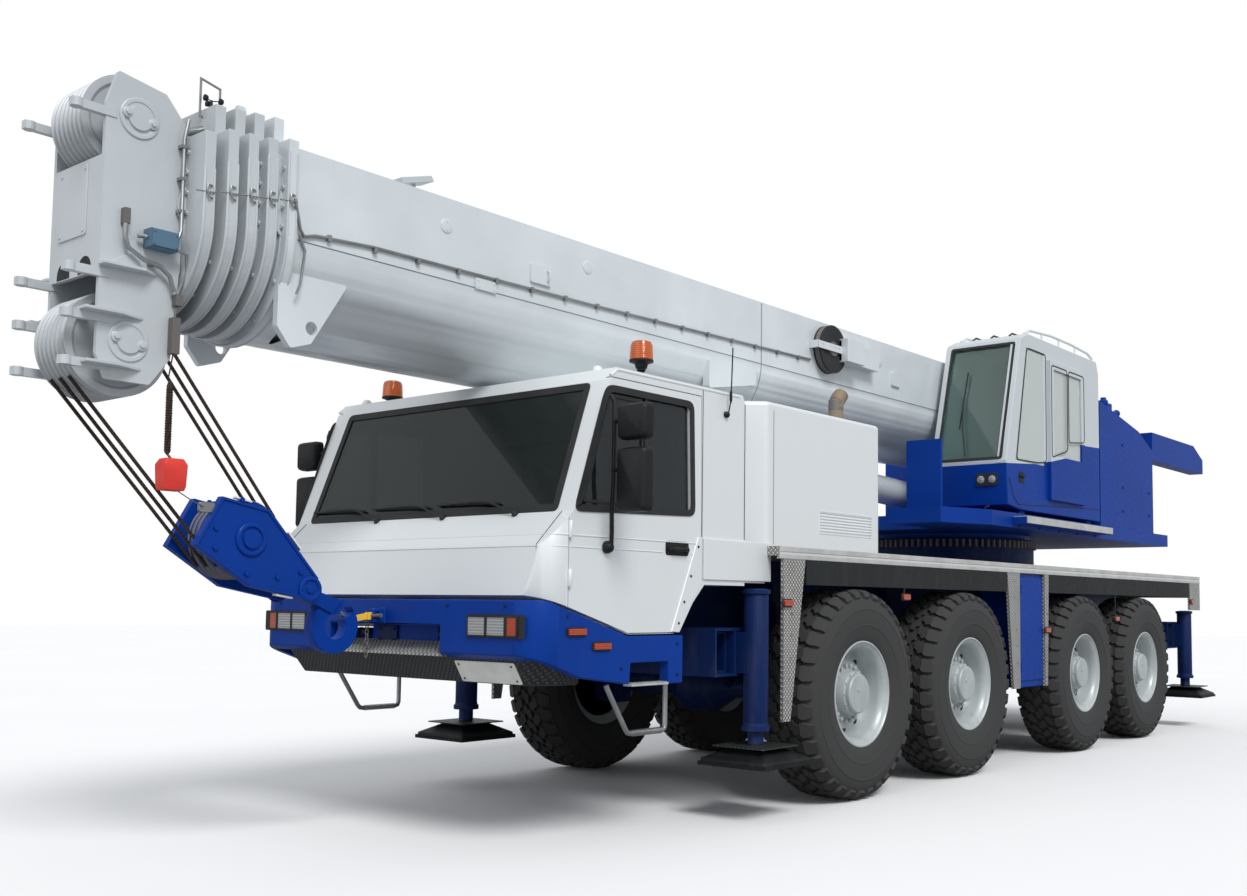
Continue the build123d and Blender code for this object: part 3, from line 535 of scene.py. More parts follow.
class Shape:
    """One visible piece while its mesh is being built, in metres in the row frame."""

    def __init__(self, name: str) -> None:
        """Start an empty mesh."""
        self.name = name
        self.mesh = bmesh.new()

    def prism(self, rings: Sequence[Sequence[Vector]], capped: bool = True) -> None:
        """Join equal rings of points into a skin, with flat ends.

        Args:
            rings: Rings with the same number of points, in order along the form.
            capped: Whether the two ends are closed.
        """
        made = [[self.mesh.verts.new(point) for point in ring] for ring in rings]
        if not capped and rings[0] is rings[-1]:
            for point in made[-1]:
                self.mesh.verts.remove(point)
            made[-1] = made[0]
        count = len(made[0])
        for lower, upper in zip(made, made[1:]):
            for i in range(count):
                j = (i + 1) % count
                self.mesh.faces.new((lower[i], lower[j], upper[j], upper[i]))
        if capped:
            self.mesh.faces.new(list(reversed(made[0])))
            self.mesh.faces.new(made[-1])

    def box(self, x: Pair, y: Pair, z: Pair) -> "Shape":
        """Add a box between two values on each axis."""
        ring = [(x[0], y[0]), (x[1], y[0]), (x[1], y[1]), (x[0], y[1])]
        self.prism([[Vector((a, b, level)) for a, b in ring] for level in z])
        return self

    @staticmethod
    def place(axis: Axis, a: float, b: float, level: float) -> Vector:
        """Put an outline point at a level along an axis or above a sheet.

        Args:
            axis: "x", "y" or "z", or a sheet.
            a: First coordinate of the outline.
            b: Second coordinate of the outline.
            level: Place along the axis.

        Returns:
            The point.
        """
        if isinstance(axis, Sheet):
            return axis.at(a, b, level)
        return Vector({"x": (level, a, b), "y": (a, level, b), "z": (a, b, level)}[axis])

    def plate(self, axis: Axis, outline: Outline, low: float, high: float) -> "Shape":
        """Add a plate cut to an outline.

        Args:
            axis: "x" (outline in y, z), "y" (in x, z) or "z" (in x, y) across the plate, or a sheet.
            outline: Corner points in order.
            low: Lower face along the axis.
            high: Upper face along the axis.

        Returns:
            The shape itself.
        """
        self.prism([[self.place(axis, a, b, level) for a, b in outline] for level in ordered(low, high)])
        return self

    def frame(self, axis: Axis, outline: Outline, width: float, low: float, high: float) -> "Shape":
        """Add a picture-frame strip just inside an outline.

        Args:
            axis: Axis or sheet, as for a plate.
            outline: Corner points in order.
            width: Width of the strip.
            low: Lower face along the axis.
            high: Upper face along the axis.

        Returns:
            The shape itself.
        """
        inner = inset(outline, width)
        levels = ordered(low, high)
        rings = []
        for ring, level in ((outline, levels[0]), (outline, levels[1]), (inner, levels[1]),
                (inner, levels[0])):
            rings.append([self.place(axis, a, b, level) for a, b in ring])
        self.prism([*rings, rings[0]], capped=False)
        return self

    def rod(self, start: Point, end: Point, radius: float, sides: int = 14) -> "Shape":
        """Add a round bar between two points.

        Args:
            start: Middle of one end.
            end: Middle of the other end.
            radius: Radius of the bar.
            sides: Number of sides round it.

        Returns:
            The shape itself.
        """
        turn = (Vector(end) - Vector(start)).to_track_quat("Z", "Y")
        ring = [turn @ Vector((radius * math.cos(a), radius * math.sin(a), 0)) for a in spokes(sides)]
        self.prism([[Vector(origin) + point for point in ring] for origin in (start, end)])
        return self

    def tube(self, path: Sequence[Point], radius: float, sides: int = 10) -> "Shape":
        """Add a bent round tube along a path, mitred at its corners.

        Args:
            path: Points along its middle.
            radius: Radius of the tube.
            sides: Number of sides round it.

        Returns:
            The shape itself.
        """
        points = [Vector(point) for point in path]
        rings = []
        side = None
        for i, point in enumerate(points):
            before = (point - points[i - 1]).normalized() if i else None
            after = (points[i + 1] - point).normalized() if i + 1 < len(points) else None
            heading = ((before or after) + (after or before)).normalized()
            if side is None:
                side = heading.orthogonal().normalized()
            side = (side - heading * side.dot(heading)).normalized()
            up = heading.cross(side)
            rings.append([point + radius * (side * math.cos(a) + up * math.sin(a)) for a in spokes(sides)])
        self.prism(rings)
        return self

    def turned(self, centre: Point, axis: str, profile: Sequence[Pair], sides: int = 48,
            outward: int = 1) -> "Shape":
        """Add a lathe form about an axis.

        Args:
            centre: Point on the axis that offsets are counted from.
            axis: "x", "y" or "z".
            profile: (radius, offset along the axis) points from one end to the other.
            sides: Number of sides round the form.
            outward: 1 or -1, the way offsets run along the axis.

        Returns:
            The shape itself.
        """
        hub = Vector(centre)
        along = Vector(UNIT[axis]) * outward
        first = Vector((0, 0, 1)) if axis != "z" else Vector((1, 0, 0))
        second = along.cross(first)
        rings = [[hub + along * offset + (first * math.cos(a) + second * math.sin(a)) * max(radius, 1e-4)
            for a in spokes(sides)] for radius, offset in profile]
        self.prism(rings)
        return self

    def bolts(self, places: Sequence[Point], axis: str, radius: float, height: float) -> "Shape":
        """Add hexagon heads at the given places, standing along an axis.

        Args:
            places: Middles of the heads where they touch the plate.
            axis: "x", "y" or "z".
            radius: Radius over the corners.
            height: Height along the axis, with its sign.

        Returns:
            The shape itself.
        """
        step = Vector(UNIT[axis]) * height
        for place in places:
            self.rod(place, tuple(Vector(place) + step), radius, sides=6)
        return self

    def done(self, finish: Finish, body: str, replaces: Sequence[str] = (), bevel: float = 0.0,
            sharp: float = 35.0) -> bpy.types.Object:
        """Finish the piece: make its object, dress it and let it ride.

        Args:
            finish: The finish that it wears.
            body: CAD body that it rides on.
            replaces: CAD nodes that it stands for.
            bevel: Edge rounding in metres.
            sharp: Angle in degrees above which an edge stays crisp.

        Returns:
            The object.
        """
        bmesh.ops.recalc_face_normals(self.mesh, faces=self.mesh.faces)
        data = bpy.data.meshes.new(self.name)
        self.mesh.to_mesh(data)
        self.mesh.free()
        data.materials.append(finish.material)
        piece = bpy.data.objects.new(self.name, data)
        bpy.context.scene.collection.objects.link(piece)
        soften(piece, bevel, sharp)
        if replaces:
            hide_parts(*replaces)
        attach(piece, body)
        log.info("%s rides on %s", self.name, body)
        return piece


def inset(outline: Outline, width: float) -> list[Pair]:
    """Draw a convex outline in by a width.

    Args:
        outline: Corner points in order.
        width: How far each edge moves in.

    Returns:
        The smaller outline.
    """
    middle = Vector((sum(a for a, _ in outline) / len(outline), sum(b for _, b in outline) / len(outline)))
    count = len(outline)
    points = []
    for i in range(count):
        here = Vector(outline[i])
        back = (here - Vector(outline[i - 1])).normalized()
        ahead = (Vector(outline[(i + 1) % count]) - here).normalized()
        normals = []
        for way in (back, ahead):
            normal = Vector((-way.y, way.x))
            normals.append(normal if normal.dot(middle - here) > 0 else -normal)
        mean = (normals[0] + normals[1]).normalized()
        points.append(tuple(here + mean * width / max(0.3, mean.dot(normals[0]))))
    return points


def soften(piece: bpy.types.Object, bevel: float, sharp: float) -> None:
    """Shade smooth below an angle and round the edges above it.

    Args:
        piece: Piece to shade.
        bevel: Edge rounding in metres.
        sharp: The angle in degrees.
    """
    data = piece.data
    shaded = bmesh.new()
    shaded.from_mesh(data)
    for face in shaded.faces:
        face.smooth = True
    for edge in shaded.edges:
        edge.smooth = edge.calc_face_angle(0.0) < math.radians(sharp) if len(edge.link_faces) == 2 else False
    shaded.to_mesh(data)
    shaded.free()
    if bevel:
        round_edges(piece, bevel, sharp)


def round_edges(piece: bpy.types.Object, width: float, angle: float) -> None:
    """Round the edges that are sharper than an angle.

    Args:
        piece: Piece to round.
        width: Edge rounding in metres.
        angle: The angle in degrees.
    """
    rounding = piece.modifiers.new("edges", "BEVEL")
    rounding.width = width
    rounding.segments = 2
    rounding.limit_method = "ANGLE"
    rounding.angle_limit = math.radians(angle)
    rounding.harden_normals = True


def dress(node: str, finish: Finish, bevel: float = 0.0) -> None:
    """Give a CAD node its finish and, where wanted, rounded edges.

    Args:
        node: Name of the node.
        finish: The finish that it wears.
        bevel: Edge rounding in metres.
    """
    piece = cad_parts[node]
    piece.data.materials.clear()
    piece.data.materials.append(finish.material)
    if bevel:
        weld = piece.modifiers.new("weld", "WELD")
        weld.merge_threshold = WELD_GAP
        round_edges(piece, bevel, NODE_ANGLE)


@dataclass
class RoadWheel:
    """Large single tyre with block tread on a dished steel rim with a planetary hub."""

    axle: int
    side_name: str
    side: int
    blocks: int = 36
    block_top: float = 0.7245
    block_foot: float = 0.7
    hub_bolts: int = 12
    nuts: int = 20
    hand_holes: int = 10

    def __post_init__(self) -> None:
        """Read the wheel's place from its CAD node."""
        low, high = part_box(self.node)
        self.centre = tuple((low + high) / 2)
        self.half = (high.y - low.y) / 2

    @property
    def node(self) -> str:
        """The CAD node and body that the wheel stands for."""
        return f"wheel_{self.axle}_{self.side_name}"

    def spot(self, radius: float, angle: float, across: float) -> Vector:
        """Point on the tyre at a radius, an angle and an offset outwards."""
        return Vector((self.centre[0] + radius * math.sin(angle), self.centre[1] + self.side * across,
            self.centre[2] + radius * math.cos(angle)))

    def tread(self, shape: Shape) -> None:
        """Add the zigzag centre rows and the shoulder blocks to the tyre.

        Args:
            shape: The tyre being built.
        """
        step = math.tau / self.blocks
        zigzag = ((0.06, 0.0), (0.62, 0.0), (0.74, 0.38), (1.0, 0.56), (0.92, 1.0), (0.36, 1.0), (0.26, 0.62),
            (0.0, 0.44))
        rows = ((-0.118, -0.043, 0.0, 1), (-0.036, 0.036, 0.5, -1), (0.043, 0.118, 0.1, 1))
        for low, high, shift, flip in rows:
            for k in range(self.blocks):
                ring = [((k + shift + 0.86 * (u if flip > 0 else 1 - u)) * step, low + v * (high - low))
                    for u, v in zigzag]
                shape.prism([[self.spot(radius, angle, across) for angle, across in ring]
                    for radius in (self.block_foot, self.block_top)])
        shoulder = ((0.0, 0.126), (0.66, 0.124), (0.8, 0.15), (0.76, 0.196), (0.7, 0.209), (0.16, 0.209),
            (0.1, 0.19), (-0.06, 0.155))
        drop = (0.0, 0.0, 0.003, 0.024, 0.052, 0.052, 0.022, 0.004)
        for flip in (1, -1):
            for k in range(self.blocks):
                angles = [(k + 0.3 * flip + u) * step for u, _ in shoulder]
                tops = [self.spot(self.block_top - lower, angle, flip * across) for angle, (_, across),
                    lower in zip(angles, shoulder, drop)]
                feet = [self.spot(0.655, angle, flip * min(across, 0.196)) for angle,
                    (_, across) in zip(angles, shoulder)]
                shape.prism([feet, tops])

    def build(self) -> None:
        """Build tyre, rim, hub and nuts."""
        half = self.half
        tyre = Shape(f"tyre_{self.axle}_{self.side_name}")
        wall = [(0.334, 0.12), (0.352, 0.172), (0.368, 0.186), (0.392, 0.196), (0.43, 0.207), (0.47, 0.214),
            (0.4725, 0.2175), (0.4775, 0.2175), (0.48, 0.2155), (0.53, half - 0.001), (0.58, 0.217),
            (0.583, 0.2195), (0.59, 0.2185), (0.592, 0.215), (0.63, 0.207), (0.664, 0.192), (0.688, 0.168),
            (0.7, 0.138), (0.702, 0.07)]
        profile = [(r, -y) for r, y in wall] + [(r, y) for r, y in reversed(wall)]
        tyre.turned(self.centre, "y", profile + [(0.334, -0.12)], 96, self.side)
        self.tread(tyre)
        tyre.done(Finish.RUBBER, self.node, (self.node,), bevel=0.0022, sharp=32)
        rim = Shape(f"rim_{self.axle}_{self.side_name}")
        rim.turned(self.centre, "y", [(0.06, -0.055), (0.14, -0.055), (0.155, -0.02), (0.2, 0.0),
            (0.285, -0.01), (0.3, -0.04), (0.302, -0.14), (0.325, -0.158), (0.352, -0.176), (0.364, -0.184),
            (0.366, -0.178), (0.345, -0.15), (0.338, 0.0), (0.345, 0.15), (0.366, 0.18), (0.366, 0.19),
            (0.356, 0.192), (0.349, 0.184), (0.34, 0.176), (0.33, 0.172), (0.322, 0.16), (0.314, 0.152),
            (0.305, 0.12), (0.3, 0.04), (0.292, 0.022), (0.262, 0.03), (0.215, 0.052), (0.176, 0.056),
            (0.172, 0.062), (0.158, 0.062), (0.154, 0.12), (0.15, 0.128), (0.14, 0.132), (0.137, 0.158),
            (0.128, 0.166), (0.06, 0.168), (0.0, 0.168)], 72, self.side)
        rim.bolts([tuple(self.spot(0.146, angle, 0.126)) for angle in spokes(self.hub_bolts)], "y", 0.007,
            0.01 * self.side)
        rim.bolts([tuple(self.spot(0.194, angle + math.pi / self.nuts, 0.05)) for angle in spokes(self.nuts)],
            "y", 0.015, 0.03 * self.side)
        rim.rod(tuple(self.spot(0.035, 0.7, 0.167)), tuple(self.spot(0.035, 0.7, 0.173)), 0.016, sides=8)
        rim.done(Finish.RIM_SILVER, self.node, bevel=0.0015, sharp=38)
        # Black discs on the rim's dish: painted shade standing for the hand holes.
        hole_shade = Shape(f"rim_hole_shade_{self.axle}_{self.side_name}")
        for angle in spokes(self.hand_holes):
            hole_shade.turned(tuple(self.spot(0.25, angle, 0.035)), "y", [(0.0, -0.004), (0.022, -0.004),
                (0.024, 0.002), (0.02, 0.003), (0.0, 0.0015)], 16, self.side)
        hole_shade.done(Finish.BLACK, self.node)


@dataclass
class DriverCab:
    """Trim of the driver's cab: seals, wipers, panes, handles, mirrors and creases."""

    half: float = 1.25
    corner: float = 0.19
    door_front: float = 4.4
    skin: float = 1.2505
    belt_lines: tuple[Pair, ...] = ((1.695, 0.004), (1.632, 0.0034))
    mirror_y: float = 1.48
    door_outline: tuple[Pair, ...] = ((4.34, 1.86), (4.12, 2.48), (4.08, 2.52), (3.39, 2.52), (3.37, 1.89))

    @staticmethod
    def nose_x(z: float) -> float:
        """How far forward the cab's front skin is at a height."""
        return 4.6 - 0.148 * (z - 1.37) if z < 1.64 else 4.56 - (z - 1.64)

    def belt(self, z: float, lift: float) -> list[Point]:
        """Line round the cab's nose from door edge to door edge, at a height and a distance off the skin.

        Args:
            z: Height of the line.
            lift: Distance off the skin.

        Returns:
            The points of the line.
        """
        nose = self.nose_x(z)
        middle = 4.6 - self.corner
        start = math.acos(min(1.0, (nose - middle) / self.corner))
        turn = [start + (math.pi / 2 - start) * k / 7 for k in range(8)]
        reach = self.corner + lift
        arc = [(middle + reach * math.cos(t), self.half - self.corner + reach * math.sin(t), z) for t in turn]
        left = arc + [(self.door_front + 0.008, self.half + lift, z)]
        return [(x, -y, level) for x, y, level in reversed(left)] + left

    def windshield(self) -> None:
        """Black border seal and wipers."""
        outline = [(-1.128, -0.004), (1.128, -0.004), (1.108, 0.792), (-1.108, 0.792)]
        seal = Shape("windshield_seal").frame(WINDSHIELD, rounded(outline, 0.04), 0.046, -0.004, 0.004)
        seal.done(Finish.SEAL, "carrier", bevel=0.002)
        gear = Shape("wipers")
        for pivot in (0.812, 0.2, -0.415):
            foot, knee, tip = (pivot, -0.012), (pivot - 0.235, 0.066), (pivot - 0.42, 0.074)
            gear.turned(tuple(WINDSHIELD.at(*foot, 0.012)), "x", [(0.018, -0.014), (0.02, 0.008),
                (0.01, 0.016)], 16)
            gear.tube([tuple(WINDSHIELD.at(*foot, 0.02)), tuple(WINDSHIELD.at(*knee, 0.034)),
                tuple(WINDSHIELD.at(*tip, 0.026))], 0.0065)
            gear.plate(WINDSHIELD, [(pivot - 0.69, 0.066), (pivot - 0.16, 0.058), (pivot - 0.16, 0.068),
                (pivot - 0.69, 0.076)], 0.004, 0.02)
            gear.plate(WINDSHIELD, [(pivot - 0.56, 0.068), (pivot - 0.3, 0.064), (pivot - 0.32, 0.082),
                (pivot - 0.54, 0.084)], 0.014, 0.026)
        gear.done(Finish.SEAL, "carrier", bevel=0.001)

    def creases(self) -> None:
        """Raised belt line, nose and side seams, and the roof gutters."""
        belt = Shape("cab_belt")
        for z, size in self.belt_lines:
            belt.tube(self.belt(z, 0.0005), size, 8)
        belt.done(Finish.CAB_WHITE, "carrier")
        seams = Shape("cab_seams")
        for _, side in SIDES:
            seams.tube([(min(self.nose_x(z), 4.5685), side * 1.165, z) for z in (1.375, 1.52, 1.64, 1.7, 1.76,
                1.826)], 0.0028, 6)
            seams.tube([(3.258, side * self.skin, 2.64), (3.258, side * self.skin, 1.48)], 0.0025, 6)
            seams.tube([(2.826, side * self.skin, 2.6), (2.826, side * self.skin, 1.74)], 0.003, 6)
        seams.done(Finish.SEAL, "carrier")
        gutter = Shape("roof_gutter")
        for _, side in SIDES:
            gutter.tube([(4.085, side * 1.242, 2.602), (4.035, side * 1.244, 2.64),
                (2.88, side * 1.244, 2.64)], 0.011, 8)
            gutter.turned((4.0, side * 1.06, 2.654), "z", [(0.034, -0.004), (0.034, 0.01), (0.022, 0.03),
                (0.002, 0.036)], 20)
        gutter.done(Finish.CAB_WHITE, "carrier")

    def fender(self) -> None:
        """White panel behind the door, its bolted edge strip and the aerial."""
        for name, side in SIDES:
            panel = Shape(f"cab_fender_{name}")
            panel.box((2.545, 3.25), ordered(side * 1.249, side * 1.262), (1.48, 1.73))
            panel.plate("y", [(3.262, 1.735), (3.3, 1.735), (3.545, 1.17), (3.47, 1.166), (3.262, 1.46)],
                side * 1.249, side * 1.258)
            panel.done(Finish.CAB_WHITE, "carrier", bevel=0.006)
            bolts = Shape(f"fender_bolts_{name}")
            spots = [(3.29 + 0.19 * t, side * 1.258, 1.7 - 0.48 * t) for t in (0.05, 0.42, 0.74, 1.0)]
            bolts.bolts(spots, "y", 0.008, side * 0.004)
            bolts.done(Finish.BLACK, "carrier")
        aerial = Shape("aerial")
        aerial.turned((3.03, 1.249, 2.51), "y", [(0.02, 0.0), (0.02, 0.018), (0.01, 0.028)], 16)
        aerial.tube([(3.03, 1.272, 2.512), (3.022, 1.285, 2.6), (3.01, 1.288, 2.93)], 0.0042, 8)
        aerial.turned((3.0235, 1.2855, 2.6), "z", [(0.004, -0.02), (0.009, 0.0), (0.009, 0.05),
            (0.004, 0.06)], 12)
        aerial.done(Finish.BLACK, "carrier")

    def door(self, name: str, side: int) -> None:
        """Pane, seal, divider, handle and creases of one door.

        Args:
            name: Side of the door.
            side: 1 for left and -1 for right.
        """
        body = f"door_{name}"
        seal = Shape(f"door_seal_{name}")
        outer = rounded([(4.372, 1.822), (4.146, 2.502), (4.108, 2.548), (3.35, 2.548), (3.328, 1.856)], 0.06)
        seal.frame("y", outer, 0.04, side * 1.2485, side * 1.256)
        inner = rounded([(4.3, 1.88), (4.098, 2.47), (4.072, 2.496), (3.8, 2.496), (3.8, 1.88)], 0.03)
        seal.frame("y", inner, 0.016, side * 1.236, side * 1.244)
        seal.box((3.764, 3.792), ordered(side * 1.234, side * 1.247), (1.868, 2.512))
        seal.done(Finish.SEAL, body, bevel=0.002)
        pane = Shape(f"door_pane_{name}")
        pane.plate("y", inset(list(self.door_outline), 0.004), side * 1.23, side * 1.235)
        pane.done(Finish.DOOR_GLASS, body)
        pull = Shape(f"door_handle_{name}")
        pull.plate("y", rounded([(3.6, 1.615), (3.6, 1.7), (3.385, 1.7), (3.385, 1.615)], 0.022),
            side * 1.249, side * 1.2525)
        pull.tube([(3.572, side * 1.252, 1.65), (3.556, side * 1.28, 1.652), (3.43, side * 1.282, 1.652),
            (3.412, side * 1.262, 1.65)], 0.0115, 12)
        pull.turned((3.41, side * 1.251, 1.652), "y", [(0.022, 0.0), (0.022, 0.01), (0.014, 0.014)], 18, side)
        pull.done(Finish.BLACK, body, bevel=0.002)
        lines = Shape(f"door_belt_{name}")
        for z, size in self.belt_lines:
            rear = 3.625 if z < 1.66 else 3.3
            lines.tube([(x, side * self.skin, z) for x in (4.392, rear)], size, 8)
        lines.tube([(x, side * self.skin, 1.632) for x in (3.36, 3.325)], 0.0034, 8)
        lines.done(Finish.CAB_WHITE, body)

    def mirror(self, name: str, side: int) -> None:
        """Tall and small mirror heads on their bent arm.

        Args:
            name: Side of the mirror.
            side: 1 for left and -1 for right.
        """
        arm = Shape(f"mirror_arm_{name}")
        arm_y, head_y = side * 1.29, side * self.mirror_y
        arm.turned((4.11, side * 1.2506, 1.64), "y", [(0.034, 0.0), (0.036, 0.012), (0.028, 0.034),
            (0.012, 0.046)], 20, side)
        arm.tube([(4.11, side * 1.288, 1.64), (4.11, arm_y, 1.72), (4.118, side * 1.295, 1.82),
            (4.122, side * 1.31, 2.0), (4.124, side * 1.31, 2.44), (4.126, side * 1.285, 2.478)], 0.0125, 12)
        for z in (2.06, 2.33):
            arm.tube([(4.12, side * 1.3, z), (4.142, head_y - side * 0.08, z)], 0.011, 10)
        arm.done(Finish.BLACK, f"door_{name}", (f"mirror_{name}",))
        heads = Shape(f"mirror_heads_{name}")
        for z_low, z_high in ((1.824, 2.176), (2.219, 2.416)):
            low_y, high_y = ordered(head_y - 0.106, head_y + 0.106)
            face = oblong((low_y, high_y), (z_low, z_high), 0.036)
            heads.prism([[Vector((x, a, b)) for a, b in inset(face, drop)] for x,
                drop in ((4.112, 0.0), (4.15, 0.0), (4.176, 0.008), (4.188, 0.02))])
        heads.done(Finish.BLACK, f"door_{name}", bevel=0.003, sharp=50)
        glass = Shape(f"mirror_glass_{name}")
        for z_low, z_high in ((1.84, 2.16), (2.234, 2.402)):
            face = oblong((head_y - 0.092, head_y + 0.092), (z_low, z_high), 0.028)
            glass.plate("x", face, 4.1095, 4.1125)
        glass.done(Finish.CHROME, f"door_{name}")

    def build(self) -> None:
        """Build all the cab's trim."""
        self.windshield()
        self.creases()
        self.fender()
        for name, side in SIDES:
            self.door(name, side)
            self.mirror(name, side)


@dataclass
class FrontEnd:
    """Lamps, tray, loops, blank plate, recess fittings and the tie of the hook at the bumper."""

    front: float = 4.64
    half: float = 1.25
    beacon: Point = (3.72, 1.15, 2.655)
    loop_y: float = 1.215

    def lamps(self) -> None:
        """Headlamps in their black surrounds, side markers, beacons and rear lamps."""
        clear = Shape("headlamps")
        amber = Shape("indicators")
        surround = Shape("lamp_surrounds")
        for _, side in SIDES:
            low, high = ordered(side * 0.728, side * 1.175)
            surround.plate("x", oblong((low, high), (1.142, 1.266), 0.014), 4.6402, 4.644)
            for y_low, y_high, shape in ((0.742, 0.878, clear), (0.892, 1.03, clear), (1.046, 1.12, amber)):
                a, b = ordered(side * y_low, side * y_high)
                surround.frame("x", oblong((a - 0.006, b + 0.006), (1.148, 1.26), 0.01), 0.009, 4.6435,
                    4.6545)
                shape.plate("x", oblong((a, b), (1.153, 1.255), 0.01), 4.6435, 4.652)
            for x, z in ((4.338, 1.178), (4.139, 1.098)):
                outline = oblong((x - 0.074, x + 0.074), (z - 0.024, z + 0.024), 0.012)
                surround.plate("y", outline, side * 1.2502, side * 1.257)
                amber.plate("y", inset(outline, 0.007), side * 1.257, side * 1.269)
        clear.done(Finish.CLEAR, "carrier", ("lamps",), bevel=0.003)
        amber.done(Finish.SIDE_AMBER, "carrier", bevel=0.003)
        surround.done(Finish.SEAL, "carrier", bevel=0.001)
        foot = Shape("beacon_feet")
        dome = Shape("beacon_domes")
        for _, side in SIDES:
            place = (self.beacon[0], side * self.beacon[1], self.beacon[2])
            foot.turned(place, "z", [(0.052, 0.0), (0.052, 0.006), (0.02, 0.012), (0.017, 0.03),
                (0.026, 0.036), (0.026, 0.048), (0.034, 0.052), (0.04, 0.076), (0.056, 0.084), (0.072, 0.088),
                (0.072, 0.1), (0.0, 0.1)], 32)
            dome.turned(place, "z", [(0.066, 0.096), (0.07, 0.1), (0.069, 0.13), (0.066, 0.185),
                (0.058, 0.205), (0.04, 0.2135), (0.0, 0.2155)], 36)
        foot.done(Finish.BLACK, "carrier", bevel=0.001)
        dome.done(Finish.AMBER, "carrier")
        tail = Shape("tail_lamp_housings")
        for _, side in SIDES:
            tail.box((-6.11, -6.0703), ordered(side * 0.9, side * 1.25), (1.5, 1.62))
        tail.done(Finish.SEAL, "carrier", bevel=0.006)

    def tray(self) -> None:
        """Faceted checker tray under the bumper, the treads and the step loops."""
        tray = Shape("front_tray")
        low = [(4.18, 1.12), (4.34, 1.12), (4.47, 0.99), (4.47, -0.99), (4.34, -1.12), (4.18, -1.12)]
        high = [(4.18, 1.165), (4.39, 1.165), (4.56, 1.04), (4.56, -1.04), (4.39, -1.165), (4.18, -1.165)]
        tray.prism([[Vector((x, y, z)) for x, y in ring] for ring, z in ((low, 0.885), (high, 1.036))])
        tray.done(Finish.DARK_TREAD_PLATE, "carrier", ("front_steps",), bevel=0.006)
        shelf = Shape("recess_shelf")
        shelf.plate("y", [(4.482, 1.11), (4.632, 1.046), (4.632, 1.03), (4.482, 1.03)], -0.499, 0.499)
        shelf.done(Finish.TREAD_PLATE, "carrier", bevel=0.003)
        loops = Shape("step_loops")
        for _, side in SIDES:
            y = side * self.loop_y
            loops.tube([(4.058, y, 0.884), (4.046, y, 0.86), (3.89, y, 0.626), (3.872, y, 0.608),
                (3.85, y, 0.604), (3.575, y, 0.604), (3.553, y, 0.61), (3.545, y, 0.632), (3.545, y, 0.868)],
                0.015, 14)
            for k in range(18):
                x = 3.585 + k * 0.0146
                loops.turned((x, y, 0.604), "x", [(0.015, -0.003), (0.0195, 0.0), (0.015, 0.003)], 12)
        loops.done(Finish.STEEL, "carrier")
        tread = Shape("notch_treads")
        for _, side in SIDES:
            tread.box((3.564, 3.886), ordered(side * 1.19, side * 1.256), (0.868, 0.88))
            for k in range(13):
                x = 3.58 + k * 0.0246
                tread.box((x - 0.004, x + 0.004), ordered(side * 1.192, side * 1.255), (0.88, 0.886))
        tread.done(Finish.SILL, "carrier", bevel=0.001)

    def bolts(self) -> None:
        """Bolt heads on the bumper's face and ends."""
        heads = Shape("bumper_bolts")
        for _, side in SIDES:
            heads.bolts([(self.front, side * y, z) for y, z in ((0.56, 1.312), (1.02, 1.312))], "x", 0.01,
                0.005)
            heads.bolts([(x, side * self.half, z) for x, z in ((4.4, 1.26), (3.97, 0.97), (3.48, 1.1),
                (3.48, 0.92))], "y", 0.01, side * 0.005)
        heads.done(Finish.DEEP_BLUE, "carrier")

    def plate(self) -> None:
        """Blank number plate with its four screws, below the bumper."""
        sheet = Sheet(across=(0, 1, 0), up=(0.5121, 0, 0.8589), out=(0.8589, 0, -0.5121),
            origin=(4.472, 0, 0.888))
        board = Shape("number_plate")
        board.plate(sheet, oblong((0.52, 1.0), (0.006, 0.142), 0.012), 0.001, 0.006)
        board.done(Finish.PLATE_WHITE, "carrier", bevel=0.001)
        screws = Shape("number_plate_screws")
        for a, b in ((0.55, 0.028), (0.97, 0.028), (0.55, 0.12), (0.97, 0.12)):
            screws.rod(tuple(sheet.at(a, b, 0.006)), tuple(sheet.at(a, b, 0.01)), 0.006, sides=8)
        screws.done(Finish.BLACK, "carrier")

    def tie(self) -> None:
        """Yellow sling, shackle and chain that hold the hook to the tow eye."""
        web = Shape("hook_sling")
        path = [(4.722, 0.004, 1.25), (4.79, 0.006, 1.24), (4.86, 0.004, 1.226), (4.915, 0.0, 1.212)]
        section = ((-0.007, -0.018), (0.007, -0.018), (0.007, 0.018), (-0.007, 0.018))
        web.prism([[Vector(point) + Vector((0, a, b)) for a, b in section] for point in path])
        for x, z in ((4.75, 1.246), (4.88, 1.221)):
            web.box((x - 0.01, x + 0.01), (-0.012, 0.022), (z - 0.021, z + 0.021))
        web.done(Finish.SLING, "carrier", bevel=0.002)
        shackle = Shape("hook_shackle")
        shackle.tube([(4.69, -0.034, 1.25), (4.73, -0.034, 1.25), (4.746, 0.0, 1.248), (4.73, 0.034, 1.25),
            (4.69, 0.034, 1.25)], 0.008, 10)
        shackle.rod((4.69, -0.05, 1.25), (4.69, 0.05, 1.25), 0.012)
        for k in range(9):
            z = 1.232 - k * 0.026
            along, across = (0.0, 0.011) if k % 2 == 0 else (0.011, 0.0)
            ring = [(4.712 + along * math.cos(t), -0.05 + across * math.cos(t), z + 0.018 * math.sin(t))
                for t in (*spokes(10), math.tau)]
            shackle.tube(ring, 0.0035, 6)
        shackle.done(Finish.IRON, "carrier")

